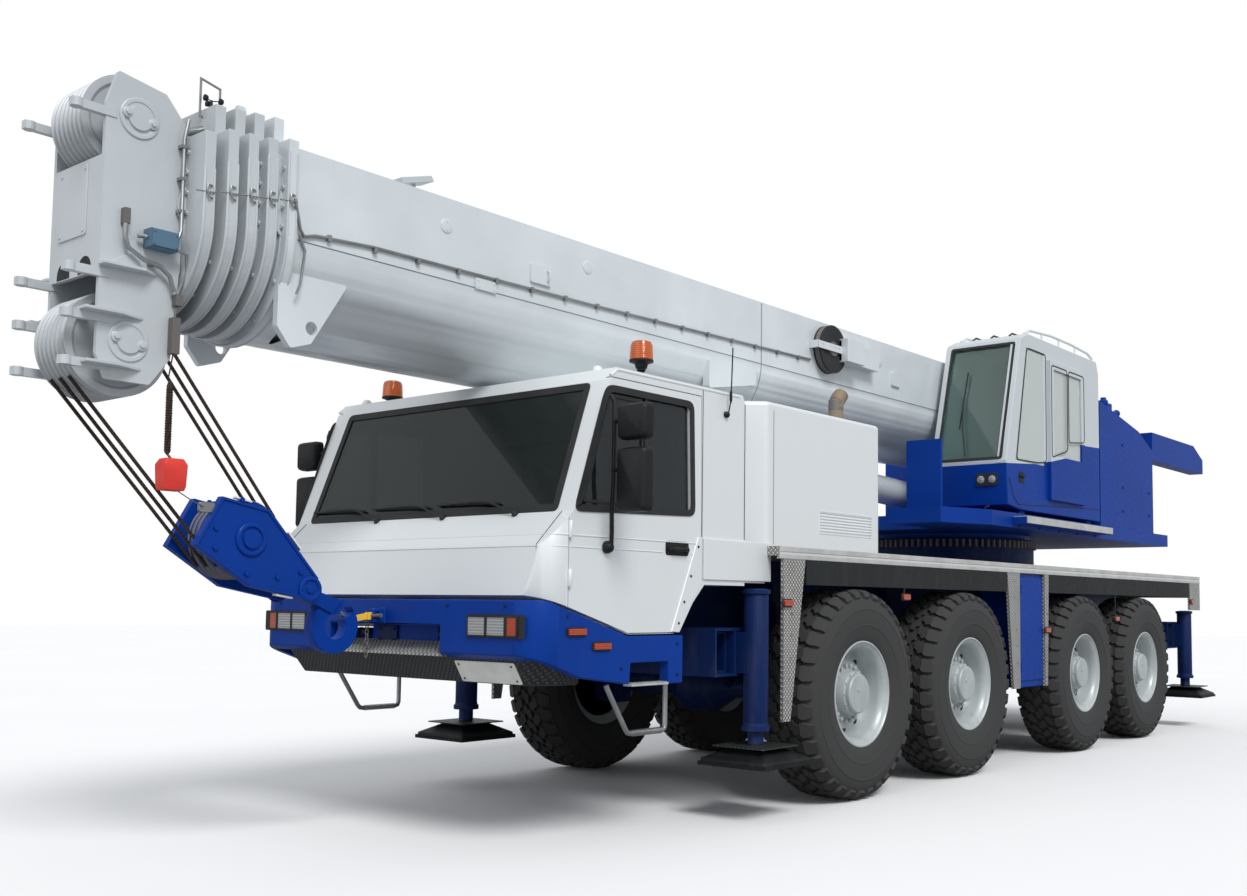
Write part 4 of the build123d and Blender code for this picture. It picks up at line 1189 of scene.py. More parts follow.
    def recess(self) -> None:
        """Bolt plate and hose couplings in the bumper's recess."""
        board = Shape("recess_plate")
        board.box((4.48, 4.494), (-0.235, -0.055), (1.085, 1.19))
        board.bolts([(4.494, y, z) for y in (-0.21, -0.08) for z in (1.105, 1.17)], "x", 0.011, 0.008)
        board.done(Finish.DEEP_BLUE, "carrier", bevel=0.003)
        couplings = Shape("recess_couplings")
        for y in (-0.4, -0.33, 0.36, 0.44):
            couplings.turned((4.48, y, 1.15), "x", [(0.024, 0.0), (0.024, 0.018), (0.016, 0.026),
                (0.016, 0.05), (0.006, 0.054)], 16)
        couplings.done(Finish.BLACK, "carrier", bevel=0.001)

    def build(self) -> None:
        """Build all the bumper's fittings."""
        self.lamps()
        self.tray()
        self.bolts()
        self.plate()
        self.tie()
        self.recess()


@dataclass
class BoomHead:
    """Grooved sheaves, pin keepers, covers, switch gear and hoses of the boom's head."""

    half: float = 0.25
    body: str = "boom_section_5"
    lower: Pair = (6.34, 2.53)
    upper: Pair = (6.33, 3.6)
    rope_count: int = 7
    rope_pitch: float = 0.0428
    shelf_sheet: float = 0.014

    def sheaves(self) -> None:
        """Two stacks of seven rope sheaves, dished at their ends."""
        stack = Shape("sheave_stacks")
        for (x, z), radius in ((self.lower, 0.25), (self.upper, 0.23)):
            profile = [(0.0, -0.224), (0.094, -0.224), (0.094, -0.146), (0.12, -0.14), (radius - 0.05, -0.14),
                (radius - 0.035, -0.15)]
            for k in range(self.rope_count):
                y = (k - self.rope_count // 2) * self.rope_pitch
                profile += [(radius, y - 0.0205), (radius, y - 0.0165), (radius - 0.02, y - 0.009),
                    (radius - 0.02, y + 0.009), (radius, y + 0.0165), (radius, y + 0.0205)]
                if k + 1 < self.rope_count:
                    profile.append((radius - 0.006, y + 0.0214))
            profile += [(radius - 0.035, 0.15), (radius - 0.05, 0.14), (0.12, 0.14), (0.094, 0.146),
                (0.094, 0.224), (0.0, 0.224)]
            stack.turned((x, 0.0, z), "y", profile, 64)
        stack.done(Finish.SHEAVE, self.body, ("head_sheaves",), sharp=28)

    def pins(self) -> None:
        """Pin ends with their keeper plates and bolts, on both side plates."""
        ends = Shape("head_pins")
        for _, side in SIDES:
            for x, z in (self.lower, self.upper):
                centre = (x, side * self.half, z)
                ends.turned(centre, "y", [(0.098, -0.002), (0.098, 0.005), (0.094, 0.008), (0.078, 0.008),
                    (0.074, 0.004), (0.06, 0.004), (0.058, 0.014), (0.0, 0.016)], 40, side)
                for turn in (-1, 1):
                    spot = (x + turn * 0.062, side * (self.half + 0.004), z + 0.012 * turn)
                    ends.turned(spot, "y", [(0.026, 0.0), (0.026, 0.01), (0.022, 0.012)], 18, side)
                    ends.bolts([(spot[0], side * (self.half + 0.015), spot[2])], "y", 0.013, side * 0.01)
        ends.done(Finish.HEAD_SILVER, self.body, bevel=0.001)

    def covers(self) -> None:
        """Screwed cover on the head's face, gusset shelf and the step between the side plates."""
        cover = Shape("head_cover")
        cover.plate("x", oblong((-0.165, 0.105), (3.03, 3.37), 0.014), 6.49, 6.497)
        cover.bolts([(6.497, y, z) for y in (-0.145, 0.085) for z in (3.052, 3.348)], "x", 0.008, 0.005)
        cover.done(Finish.HEAD_SILVER, self.body, bevel=0.0015)
        shelf = Shape("head_shelves")
        for _, side in SIDES:
            low, high = side * self.half, side * (self.half + 0.065)
            shelf.plate("z", [(6.21, low), (6.5, low), (6.5, high), (6.3, high)], 2.862, 2.876)
            shelf.plate("y", [(6.3, 2.876), (6.47, 2.876), (6.312, 2.968)], low, low + side * 0.01)
            for z, front in ((2.64, 6.575), (2.398, 6.56)):
                tongue = [(6.27, low), (6.48, low), (front, low * 0.92), (front, high), (6.4, high)]
                shelf.plate("z", tongue, z, z + self.shelf_sheet)
        shelf.box((6.488, 6.545), (-0.225, 0.225), (2.64, 2.64 + self.shelf_sheet))
        shelf.done(Finish.HEAD_SILVER, self.body, bevel=0.002)
        # Black arched sheets on the head's face: painted shade standing for its two openings.
        face = Shape("head_opening_shade")
        for y in (-0.105, 0.105):
            arch = [(y + 0.062 * math.cos(a), 2.865 + 0.062 * math.sin(a)) for a in reversed(half_round(10))]
            face.plate("x", [(y - 0.062, 2.845), *arch, (y + 0.062, 2.845)], 6.4895, 6.4915)
        face.done(Finish.BLACK, self.body)
        lugs = Shape("head_lugs")
        for _, side in SIDES:
            for z in (2.4, 2.62, 2.83, 3.59):
                lugs.turned((6.622, side * 0.2375, z - 0.02), "z", [(0.014, -0.001), (0.028, -0.001),
                    (0.028, 0.041), (0.014, 0.041)], 24)
        lugs.done(Finish.HEAD_SILVER, self.body, bevel=0.002)

    def switchgear(self) -> None:
        """Junction box, hoses, hanging limit switch and its red weight."""
        face = self.half
        boxes = Shape("head_junction_box")
        boxes.box((6.15, 6.29), (face + 0.004, face + 0.075), (2.985, 3.075))
        boxes.box((6.155, 6.285), (face + 0.075, face + 0.083), (2.99, 3.07))
        boxes.bolts([(x, face + 0.083, z) for x in (6.165, 6.275) for z in (3.0, 3.06)], "y", 0.006, 0.004)
        boxes.done(Finish.BOX_BLUE, self.body, bevel=0.003)
        small = Shape("head_switches")
        small.box((6.372, 6.402), (face + 0.002, face + 0.04), (3.075, 3.15))
        small.box((6.11, 6.15), (face + 0.006, face + 0.05), (2.5, 2.675))
        small.box((6.1, 6.135), (face + 0.004, face + 0.045), (2.735, 2.79))
        small.tube([(6.13, face + 0.028, 2.675), (6.128, face + 0.028, 2.7), (6.12, face + 0.026, 2.735)],
            0.006)
        small.done(Finish.IRON, self.body, bevel=0.002)
        hoses = Shape("head_hoses")
        hoses.tube([(6.39, face + 0.03, 3.075), (6.392, face + 0.03, 3.02), (6.375, face + 0.032, 2.965),
            (6.3, face + 0.04, 2.92), (6.215, face + 0.036, 2.905), (6.165, face + 0.03, 2.87),
            (6.14, face + 0.028, 2.8)], 0.011)
        hoses.tube([(6.33, face + 0.03, 3.03), (6.3, face + 0.034, 3.035), (6.29, face + 0.04, 3.03)], 0.01)
        hoses.tube([(6.15, face + 0.04, 3.02), (6.12, face + 0.035, 3.1), (6.118, face + 0.03, 3.56),
            (6.1, face + 0.03, 3.66)], 0.009)
        hoses.tube([(6.15, face + 0.055, 3.0), (6.1, face + 0.06, 2.985), (6.085, face + 0.04, 2.9),
            (6.1, face + 0.02, 2.84), (6.12, face + 0.02, 2.79)], 0.008)
        for x, z in ((6.118, 3.2), (6.118, 3.36), (6.118, 3.52), (6.25, 2.915)):
            hoses.box((x - 0.016, x + 0.016), (face + 0.001, face + 0.042), (z - 0.008, z + 0.008))
        hoses.done(Finish.STEEL, self.body)
        top = Shape("head_top_gear")
        top.turned((6.375, -0.1, 3.735), "y", [(0.0, 0.0), (0.042, 0.0), (0.046, 0.008), (0.046, 0.192),
            (0.042, 0.2), (0.0, 0.2)], 28)
        top.box((6.345, 6.405), (-0.112, -0.1), (3.69, 3.77))
        top.box((6.345, 6.405), (0.1, 0.112), (3.69, 3.77))
        top.done(Finish.HEAD_SILVER, self.body, bevel=0.002)

    def weight(self) -> None:
        """Red weight on its spring line, hung beside the rope, with its keeper line to the hook block."""
        line = Shape("weight_line")
        line.tube([(6.132, 0.278, 2.5), (6.139, 0.262, 2.4), (6.139, 0.256, 2.377)], 0.0035, 6)
        line.turned((6.128, 0.254, 2.02), "z", [(0.006, 0.0), (0.0145, 0.012), (0.0145, 0.33),
            (0.006, 0.356)], 14)
        for k in range(24):
            line.turned((6.128, 0.254, 2.04 + k * 0.0125), "z", [(0.015, 0.0), (0.0175, 0.003),
                (0.015, 0.006)], 14)
        line.done(Finish.ROPE, self.body)
        red = Shape("hoist_weight")
        levels = ((1.85, 0.05), (1.87, 0.056), (1.975, 0.06), (2.004, 0.045))
        red.prism([[Vector((6.088 + a, 0.225 + b, z)) for a, b in oblong((-s, s), (-s * 0.84, s * 0.84),
            0.01)] for z, s in levels])
        red.done(Finish.RED, self.body, bevel=0.003)
        tie = Shape("weight_tie")
        tie.tube([(6.06, 0.235, 1.852), (5.96, 0.19, 1.815), (5.866, 0.145, 1.79)], 0.003, 6)
        tie.tube([(6.128, 0.254, 2.022), (6.105, 0.245, 2.004)], 0.006, 8)
        tie.done(Finish.STEEL, self.body)

    def anemometer(self) -> None:
        """Wind gauge in its square frame on the last collar's section."""
        mast = Shape("wind_gauge_frame")
        face = [(5.895, 3.7), (6.01, 3.725), (6.01, 3.925), (5.895, 3.9)]
        mast.frame("y", face, 0.01, 0.205, 0.213)
        mast.tube([(5.935, 0.209, 3.6), (5.94, 0.209, 3.72)], 0.013)
        mast.tube([(6.095, 0.209, 3.612), (5.935, 0.209, 3.683)], 0.02, 14)
        mast.done(Finish.STEEL, "boom_section_4", bevel=0.001)
        cups = Shape("wind_gauge_cups")
        cups.turned((5.945, 0.209, 3.735), "z", [(0.016, 0.0), (0.018, 0.03), (0.01, 0.05), (0.006, 0.09)],
            16)
        hub, arm = (5.945, 0.209, 3.822), 0.045
        for angle in spokes(3):
            tip = (hub[0] + arm * math.cos(angle + 0.4), hub[1] + arm * math.sin(angle + 0.4), hub[2])
            cups.rod(hub, tip, 0.0028, sides=6)
            cups.turned(tip, "x", [(0.004, -0.014), (0.014, -0.008), (0.017, 0.006), (0.014, 0.008)], 14)
        cups.done(Finish.BLACK, "boom_section_4")

    def build(self) -> None:
        """Build the head's fittings."""
        self.sheaves()
        self.pins()
        self.covers()
        self.switchgear()
        self.weight()
        self.anemometer()


@dataclass
class Boom:
    """Collar rims, cable run, covers, reel and floodlight on the telescopic boom."""

    half: float = 0.47
    front: float = 5.68
    pitch: float = 0.103
    step: float = 0.045
    axis_z: float = 3.15
    collar_radii: tuple[float, ...] = (0.495, 0.477, 0.469, 0.461, 0.43)
    pad_bolts: int = 5
    clips: int = 16
    reel_at: Pair = (0.66, 3.4)

    def collars(self) -> None:
        """Welded rims round the collars, their gussets, wear-pad bolts and cable loops."""
        for number, outer in enumerate(self.collar_radii):
            body = "boom_base" if number == 0 else f"boom_section_{number}"
            x = self.front + number * self.pitch
            half = self.half - number * self.step
            rim = Shape(f"collar_rim_{number}")
            arc = [(outer * math.cos(a), self.axis_z - outer * math.sin(a)) for a in half_round(24)]
            top = 3.58 - number * self.step
            path = [(x - 0.003, y, z) for y, z in ((outer, top), *arc, (-outer, top))]
            rim.tube(path, 0.0075, 8)
            rim.tube([(px - 0.049, y, z) for px, y, z in path], 0.006, 8)
            inner = half - self.step + 0.018
            rim.tube([(x + 0.002, inner * math.cos(a), self.axis_z - inner * math.sin(a))
                for a in half_round(20)], 0.006, 6)
            rim.done(Finish.HEAD_SILVER, body)
            plates = Shape(f"collar_gussets_{number}")
            for _, side in SIDES:
                y = side * (half - self.step + 0.014)
                plates.plate("y", [(x, 3.44), (x + 0.038, 3.24), (x + 0.038, 3.19), (x, 3.15)], y,
                    y + side * 0.01)
                plates.bolts([(x, side * (half - 0.024 + 0.012), z) for z in (3.2, 3.3, 3.4, 3.5)], "x",
                    0.012, 0.01)
            radius = (outer + half - self.step) / 2
            for k in range(self.pad_bolts):
                angle = math.pi * (0.16 + 0.68 * k / (self.pad_bolts - 1))
                plates.bolts([(x, radius * math.cos(angle), self.axis_z - radius * math.sin(angle))], "x",
                    0.011, 0.009)
            plates.done(Finish.HEAD_SILVER, body, bevel=0.001)
            loop = Shape(f"cable_loop_{number}")
            y, z = outer + 0.004, 3.335 - number * 0.012
            loop.tube([(x - 0.04, y, z + 0.026), (x - 0.012, y + 0.01, z + 0.026),
                (x - 0.006, y + 0.012, z - 0.002), (x - 0.02, y + 0.01, z - 0.034),
                (x - 0.042, y, z - 0.034)], 0.0048, 8)
            loop.tube([(x - 0.052, y + 0.006, z - 0.004), (x + 0.04, y - 0.006, z - 0.012)], 0.004, 8)
            loop.done(Finish.STEEL, body)

    def side(self) -> None:
        """Cable and clips, seam, covers and boxes along the left side."""
        face = self.half
        cable = Shape("boom_cable")
        cable.tube([(5.64, 0.5, 3.345), (5.6, 0.492, 3.2), (5.571, 0.482, 3.172), (5.5, face + 0.01, 3.192),
            (5.139, face + 0.01, 3.216), (3.445, face + 0.01, 3.233), (0.9, face + 0.01, 3.285)], 0.0085, 8)
        cable.tube([(5.6, 0.486, 3.17), (5.56, 0.48, 3.1), (5.585, 0.484, 2.92), (5.6, 0.474, 2.87)], 0.007,
            8)
        for k in range(self.clips):
            x = 5.42 - k * 0.29
            z = 3.197 + (5.42 - x) * 0.0175
            cable.box((x - 0.011, x + 0.011), (face, face + 0.022), (z - 0.016, z + 0.016))
        cable.done(Finish.STEEL, "boom_base")
        lines = Shape("boom_seams")
        for _, side in SIDES:
            y = side * (face + 0.0005)
            lines.tube([(5.6, y, 3.148), (-4.95, y, 3.148)], 0.003, 6)
            lines.tube([(1.56, y, 3.612), (1.56, y, 3.15)], 0.004, 6)
        for x in (1.56, -1.2):
            lines.tube([(x, face * math.cos(a) * 1.001, self.axis_z - face * math.sin(a) * 1.001)
                for a in half_round(24)], 0.004, 6)
        lines.done(Finish.SEAM_GREY, "boom_base")
        caps = Shape("boom_side_covers")
        for _, side in SIDES:
            for x, z in ((4.636, 3.457), (3.474, 3.471), (-0.2, 3.44), (0.02, 3.44)):
                caps.turned((x, side * face, z), "y", [(0.042, -0.001), (0.042, 0.004), (0.036, 0.006),
                    (0.0, 0.006)], 28, side)
                caps.bolts([(x, side * (face + 0.006), z + dz) for dz in (-0.024, 0.024)], "y", 0.005,
                    side * 0.003)
        caps.plate("y", oblong((3.81, 3.98), (3.272, 3.392), 0.012), face, face + 0.016)
        caps.plate("y", oblong((4.257, 4.42), (3.14, 3.205), 0.01), face, face + 0.014)
        caps.plate("y", oblong((-0.54, -0.4), (3.26, 3.385), 0.016), face, face + 0.018)
        caps.bolts([(x, face + 0.014, z) for x in (4.275, 4.402) for z in (3.155, 3.19)], "y", 0.006, 0.004)
        caps.tube([(3.845, face + 0.016, 3.3), (3.845, face + 0.04, 3.31), (3.845, face + 0.04, 3.355),
            (3.845, face + 0.016, 3.365)], 0.006, 8)
        caps.done(Finish.SILVER, "boom_base", bevel=0.002)

    def reel(self) -> None:
        """Cable reel with its hub, bracket and motor box."""
        x, z = self.reel_at
        face = self.half
        drum = Shape("cable_reel")
        profile = [(0.15, 0.004), (0.1945, 0.004), (0.1945, 0.014), (0.1905, 0.018), (0.1905, 0.062),
            (0.1945, 0.066), (0.1945, 0.076), (0.15, 0.076), (0.138, 0.072)]
        drum.turned((x, face, z), "y", profile, 56)
        drum.done(Finish.SEAL, "boom_base", bevel=0.0015)
        turns = Shape("cable_reel_turns")
        for k in range(4):
            turns.turned((x, face + 0.021 + k * 0.0095, z), "y", [(0.19, 0.0), (0.194, 0.0045),
                (0.19, 0.009)], 56)
        turns.turned((x, face + 0.0695, z), "y", [(0.0, 0.0), (0.139, 0.0), (0.139, 0.002), (0.062, 0.002),
            (0.058, 0.014), (0.0, 0.016)], 48)
        turns.done(Finish.IRON, "boom_base")
        box = Shape("cable_reel_box")
        box.box((0.29, 0.56), (face + 0.004, face + 0.15), (3.312, 3.5))
        box.box((0.54, 0.9), (face + 0.088, face + 0.094), (3.375, 3.435))
        box.box((0.876, 0.9), (face + 0.001, face + 0.084), (3.38, 3.44))
        box.bolts([(at, face + 0.089, 3.41) for at in (0.6, 0.66, 0.72, 0.84)], "y", 0.009, 0.005)
        box.done(Finish.SILVER, "boom_base", bevel=0.012, sharp=50)
        lamp = Shape("boom_floodlight")
        lamp.plate("y", [(4.64, 3.735), (4.86, 3.665), (4.87, 3.7), (4.66, 3.765)], 0.24, 0.36)
        lamp.tube([(4.74, 0.3, 3.6), (4.74, 0.3, 3.715)], 0.012)
        lamp.done(Finish.HEAD_SILVER, "boom_base", bevel=0.004)

    def build(self) -> None:
        """Build the boom's trim."""
        self.collars()
        self.side()
        self.reel()


@dataclass
class HookBlock:
    """Cheek stiffeners, grooved sheaves, shaft bosses, latch and bare warning strips."""

    shaft: Pair = (5.6, 1.64)
    pin: Pair = (5.24, 1.39)
    cheek: float = 0.149
    sheaves: int = 5
    rope_pitch: float = 0.042
    body: str = "hook_block"

    def build(self) -> None:
        """Build the block's fittings."""
        boss = Shape("block_bosses")
        for _, side in SIDES:
            (x, z), (pin_x, pin_z) = self.shaft, self.pin
            boss.turned((x, side * self.cheek, z), "y", [(0.088, 0.0), (0.088, 0.01), (0.08, 0.016),
                (0.066, 0.016), (0.06, 0.006), (0.05, 0.006), (0.048, 0.018), (0.0, 0.02)], 40, side)
            boss.turned((pin_x, side * self.cheek, pin_z), "y", [(0.07, 0.0), (0.07, 0.01), (0.062, 0.014),
                (0.05, 0.014), (0.046, 0.006), (0.024, 0.006), (0.022, 0.014), (0.0, 0.015)], 32, side)
            boss.bolts([(x + dx, side * 0.1495, z + dz) for dx, dz in ((0.2, 0.05), (0.2, -0.05), (0.06, 0.2),
                (-0.16, -0.19), (-0.3, -0.16), (0.02, -0.175))], "y", 0.014, side * 0.012)
            boss.bolts([(pin_x + 0.056 * math.cos(a), side * 0.163, pin_z + 0.056 * math.sin(a))
                for a in spokes(6)], "y", 0.006, side * 0.004)
        boss.done(Finish.BLUE, self.body, bevel=0.0015)
        rim = Shape("block_edges")
        outline = [(5.77, 1.85), (5.91, 1.6), (5.6, 1.4), (5.24, 1.33), (5.19, 1.45), (5.5, 1.8)]
        for _, side in SIDES:
            rim.frame("y", outline, 0.016, side * 0.1495, side * 0.157)
        rim.box((5.7, 5.76), (-0.112, 0.112), (1.815, 1.83))
        rim.done(Finish.BLUE, self.body, bevel=0.003)
        strips = Shape("block_strips")
        for start, end in (((5.6, 1.829), (5.69, 1.846)), ((5.44, 1.365), (5.34, 1.349)),
                ((5.3, 1.596), (5.38, 1.684))):
            low, high = Vector((start[0], 0, start[1])), Vector((end[0], 0, end[1]))
            run = (high - low).normalized()
            out = Vector((-run.z, 0, run.x))
            if out.dot(low - Vector((5.55, 0, 1.6))) < 0:
                out = -out
            ring = [low, high, high + out * 0.01, low + out * 0.01]
            strips.prism([[point + Vector((0, y, 0)) for point in ring] for y in (0.112, 0.148)])
        strips.done(Finish.PLATE_WHITE, self.body, bevel=0.001)
        groove = Shape("block_sheave_rims")
        for k in range(self.sheaves):
            y = (k - self.sheaves // 2) * self.rope_pitch
            groove.turned((self.shaft[0], y, self.shaft[1]), "y", [(0.1985, -0.02), (0.206, -0.018),
                (0.206, -0.014), (0.199, -0.009), (0.199, 0.009), (0.206, 0.014), (0.206, 0.018),
                (0.1985, 0.02)], 56)
        groove.done(Finish.IRON, self.body)
        latch = Shape("hook_latch")
        latch.tube([(5.075, 0.0, 1.315), (5.015, 0.0, 1.29), (4.935, 0.0, 1.262), (4.905, 0.0, 1.245)], 0.014,
            10)
        latch.turned((5.06, -0.046, 1.308), "y", [(0.02, 0.0), (0.02, 0.092)], 16)
        latch.done(Finish.STEEL, self.body, bevel=0.001)
        eye = Shape("block_eye")
        eye.plate("y", oblong((5.8, 5.885), (1.765, 1.815), 0.012), 0.118, 0.14)
        eye.done(Finish.STEEL, self.body, bevel=0.002)


@dataclass
class CraneCab:
    """Frame strips, panes, seams, roof rail, wiper and lamps of the crane cab."""

    outer: float = 1.255
    inner: float = 0.53
    body: str = "superstructure"

    @staticmethod
    def nose_x(z: float) -> float:
        """How far forward the cab's front face is at a height."""
        return -1.06 + (z - 2.23) * 0.03 / 0.39 if z < 2.62 else -1.03 - (z - 2.62) * 0.33 / 1.14

    @staticmethod
    def pane_sheet(x: float, z: float) -> Sheet:
        """Plane of the sloping front pane through a point of its foot."""
        return Sheet(across=(0, 1, 0), up=(-0.2781, 0, 0.9606), out=(0.9606, 0, 0.2781), origin=(x, 0, z))

    def front(self) -> None:
        """Silver A-posts, dark seal, wiper and lamps of the front pane."""
        posts = Shape("crane_cab_posts")
        for y_low, y_high in ((self.inner - 0.004, self.inner + 0.052),
                (self.outer - 0.092, self.outer - 0.04)):
            rings = []
            for z in (2.6, 2.9, 3.2, 3.5, 3.74, 3.8):
                x = self.nose_x(min(z, 3.76)) - (0.14 if z > 3.76 else 0.0) + 0.004
                corners = ((x, y_low), (x, y_high), (x - 0.02, y_high), (x - 0.02, y_low))
                rings.append([Vector((*corner, z)) for corner in corners])
            posts.prism(rings)
        posts.done(Finish.HEAD_SILVER, self.body, bevel=0.006)
        seal = Shape("crane_pane_seal")
        sheet = self.pane_sheet(-1.036, 2.64)
        seal.frame(sheet, oblong((0.575, 1.212), (-0.012, 1.13), 0.03), 0.026, -0.002, 0.005)
        seal.tube([tuple(sheet.at(0.86, 0.03, 0.014)), tuple(sheet.at(0.8, 0.34, 0.024)),
            tuple(sheet.at(0.775, 0.6, 0.02))], 0.007)
        seal.plate(sheet, [(0.765, 0.3), (0.775, 0.3), (0.79, 0.86), (0.78, 0.86)], 0.006, 0.018)
        seal.done(Finish.SEAL, self.body, bevel=0.001)
        housing = Shape("crane_lamp_housing")
        nose = self.nose_x(2.455)
        housing.plate("x", oblong((0.96, 1.17), (2.4, 2.512), 0.018), nose - 0.012, nose + 0.008)
        housing.done(Finish.SEAL, self.body, bevel=0.002)
        lens = Shape("crane_lamp_lenses")
        for y in (1.012, 1.118):
            lens.turned((nose + 0.006, y, 2.456), "x", [(0.034, 0.0), (0.034, 0.006), (0.026, 0.01),
                (0.0, 0.012)], 24)
        lens.done(Finish.CLEAR, self.body)

    def side(self) -> None:
        """Pale panes and dark seams of the side, and the handle in its recess."""
        y = self.outer
        seams = Shape("crane_cab_seams")
        seams.tube([(-1.09, y + 0.001, 2.466), (-1.165, y + 0.001, 2.319), (-1.267, y + 0.001, 2.245),
            (-3.215, y + 0.001, 2.324)], 0.0035, 6)
        pane = [(-1.24, 2.64), (-1.48, 3.69), (-1.905, 3.69), (-1.905, 2.676), (-1.703, 2.65)]
        seams.frame("y", rounded(pane, 0.05), 0.01, y - 0.002, y + 0.003)
        seams.done(Finish.SEAL, self.body)
        door = Shape("crane_door_seams")
        front = y + 0.036
        for rear, ahead, low, rise in ((-2.33, -1.945, 2.72, 0.1), (-2.745, -2.352, 2.9, 0.04)):
            ring = [(rear, low + rise), (ahead, low), (ahead, 3.6), (rear, 3.6)]
            door.frame("y", rounded(ring, 0.05), 0.01, front - 0.002, front + 0.003)
        door.done(Finish.SEAL, "crane_cab_door")
        pane = Shape("crane_door_pane")
        pane.plate("y", [(-2.676, 2.754), (-2.014, 2.754), (-2.014, 3.556), (-2.676, 3.556)], y + 0.012,
            y + 0.018)
        pane.done(Finish.PALE_GLASS, "crane_cab_door")
        handle = Shape("crane_cab_handle")
        handle.plate("y", oblong((-1.4, -1.29), (2.44, 2.54), 0.026), y - 0.002, y + 0.004)
        handle.tube([(-1.375, y + 0.002, 2.492), (-1.365, y + 0.02, 2.494), (-1.32, y + 0.02, 2.497),
            (-1.31, y + 0.004, 2.5)], 0.008)
        handle.done(Finish.BLACK, self.body, bevel=0.002)

    def panes(self) -> None:
        """Green front pane and pale side pane, in place of the glass node."""
        sheet = self.pane_sheet(-1.042, 2.6)
        front = Shape("crane_front_pane")
        front.plate(sheet, [(0.5803, 0.042), (1.2047, 0.042), (1.2047, 1.165), (0.5803, 1.165)], -0.008, 0.0)
        front.done(Finish.GREEN_GLASS, self.body, ("crane_cab_glass",))
        side = Shape("crane_side_pane")
        side.plate("y", [(-1.2304, 2.6403), (-1.4802, 3.6797), (-1.8597, 3.6797), (-1.8597, 2.6403)],
            self.outer - 0.014, self.outer - 0.006)
        side.done(Finish.PALE_GLASS, self.body)

    def roof(self) -> None:
        """Roof rail, guard bars over the roof pane and grab rail."""
        rail = Shape("crane_roof_rail")
        arc = [(-1.512, 3.822), (-1.62, 3.872), (-2.1, 3.905), (-2.6, 3.905), (-3.02, 3.885), (-3.133, 3.852)]
        for y in (self.outer - 0.035, self.inner + 0.06):
            rail.tube([(x, y, z) for x, z in arc] + [(-3.15, y, 3.815)], 0.013, 12)
            for x in (-1.9, -2.3, -2.7):
                rail.rod((x, y, 3.815), (x, y, 3.892), 0.009, sides=10)
        rail.done(Finish.CAB_WHITE, self.body)
        guard = Shape("crane_roof_guard")
        for y in (0.72, 0.9, 1.08):
            guard.tube([(-1.5, y, 3.818), (-1.56, y, 3.85), (-2.2, y, 3.862), (-2.28, y, 3.818)], 0.009, 8)
        guard.done(Finish.SEAL, self.body)

    def build(self) -> None:
        """Build all the crane cab's trim."""
        self.panes()
        self.front()
        self.side()
        self.roof()


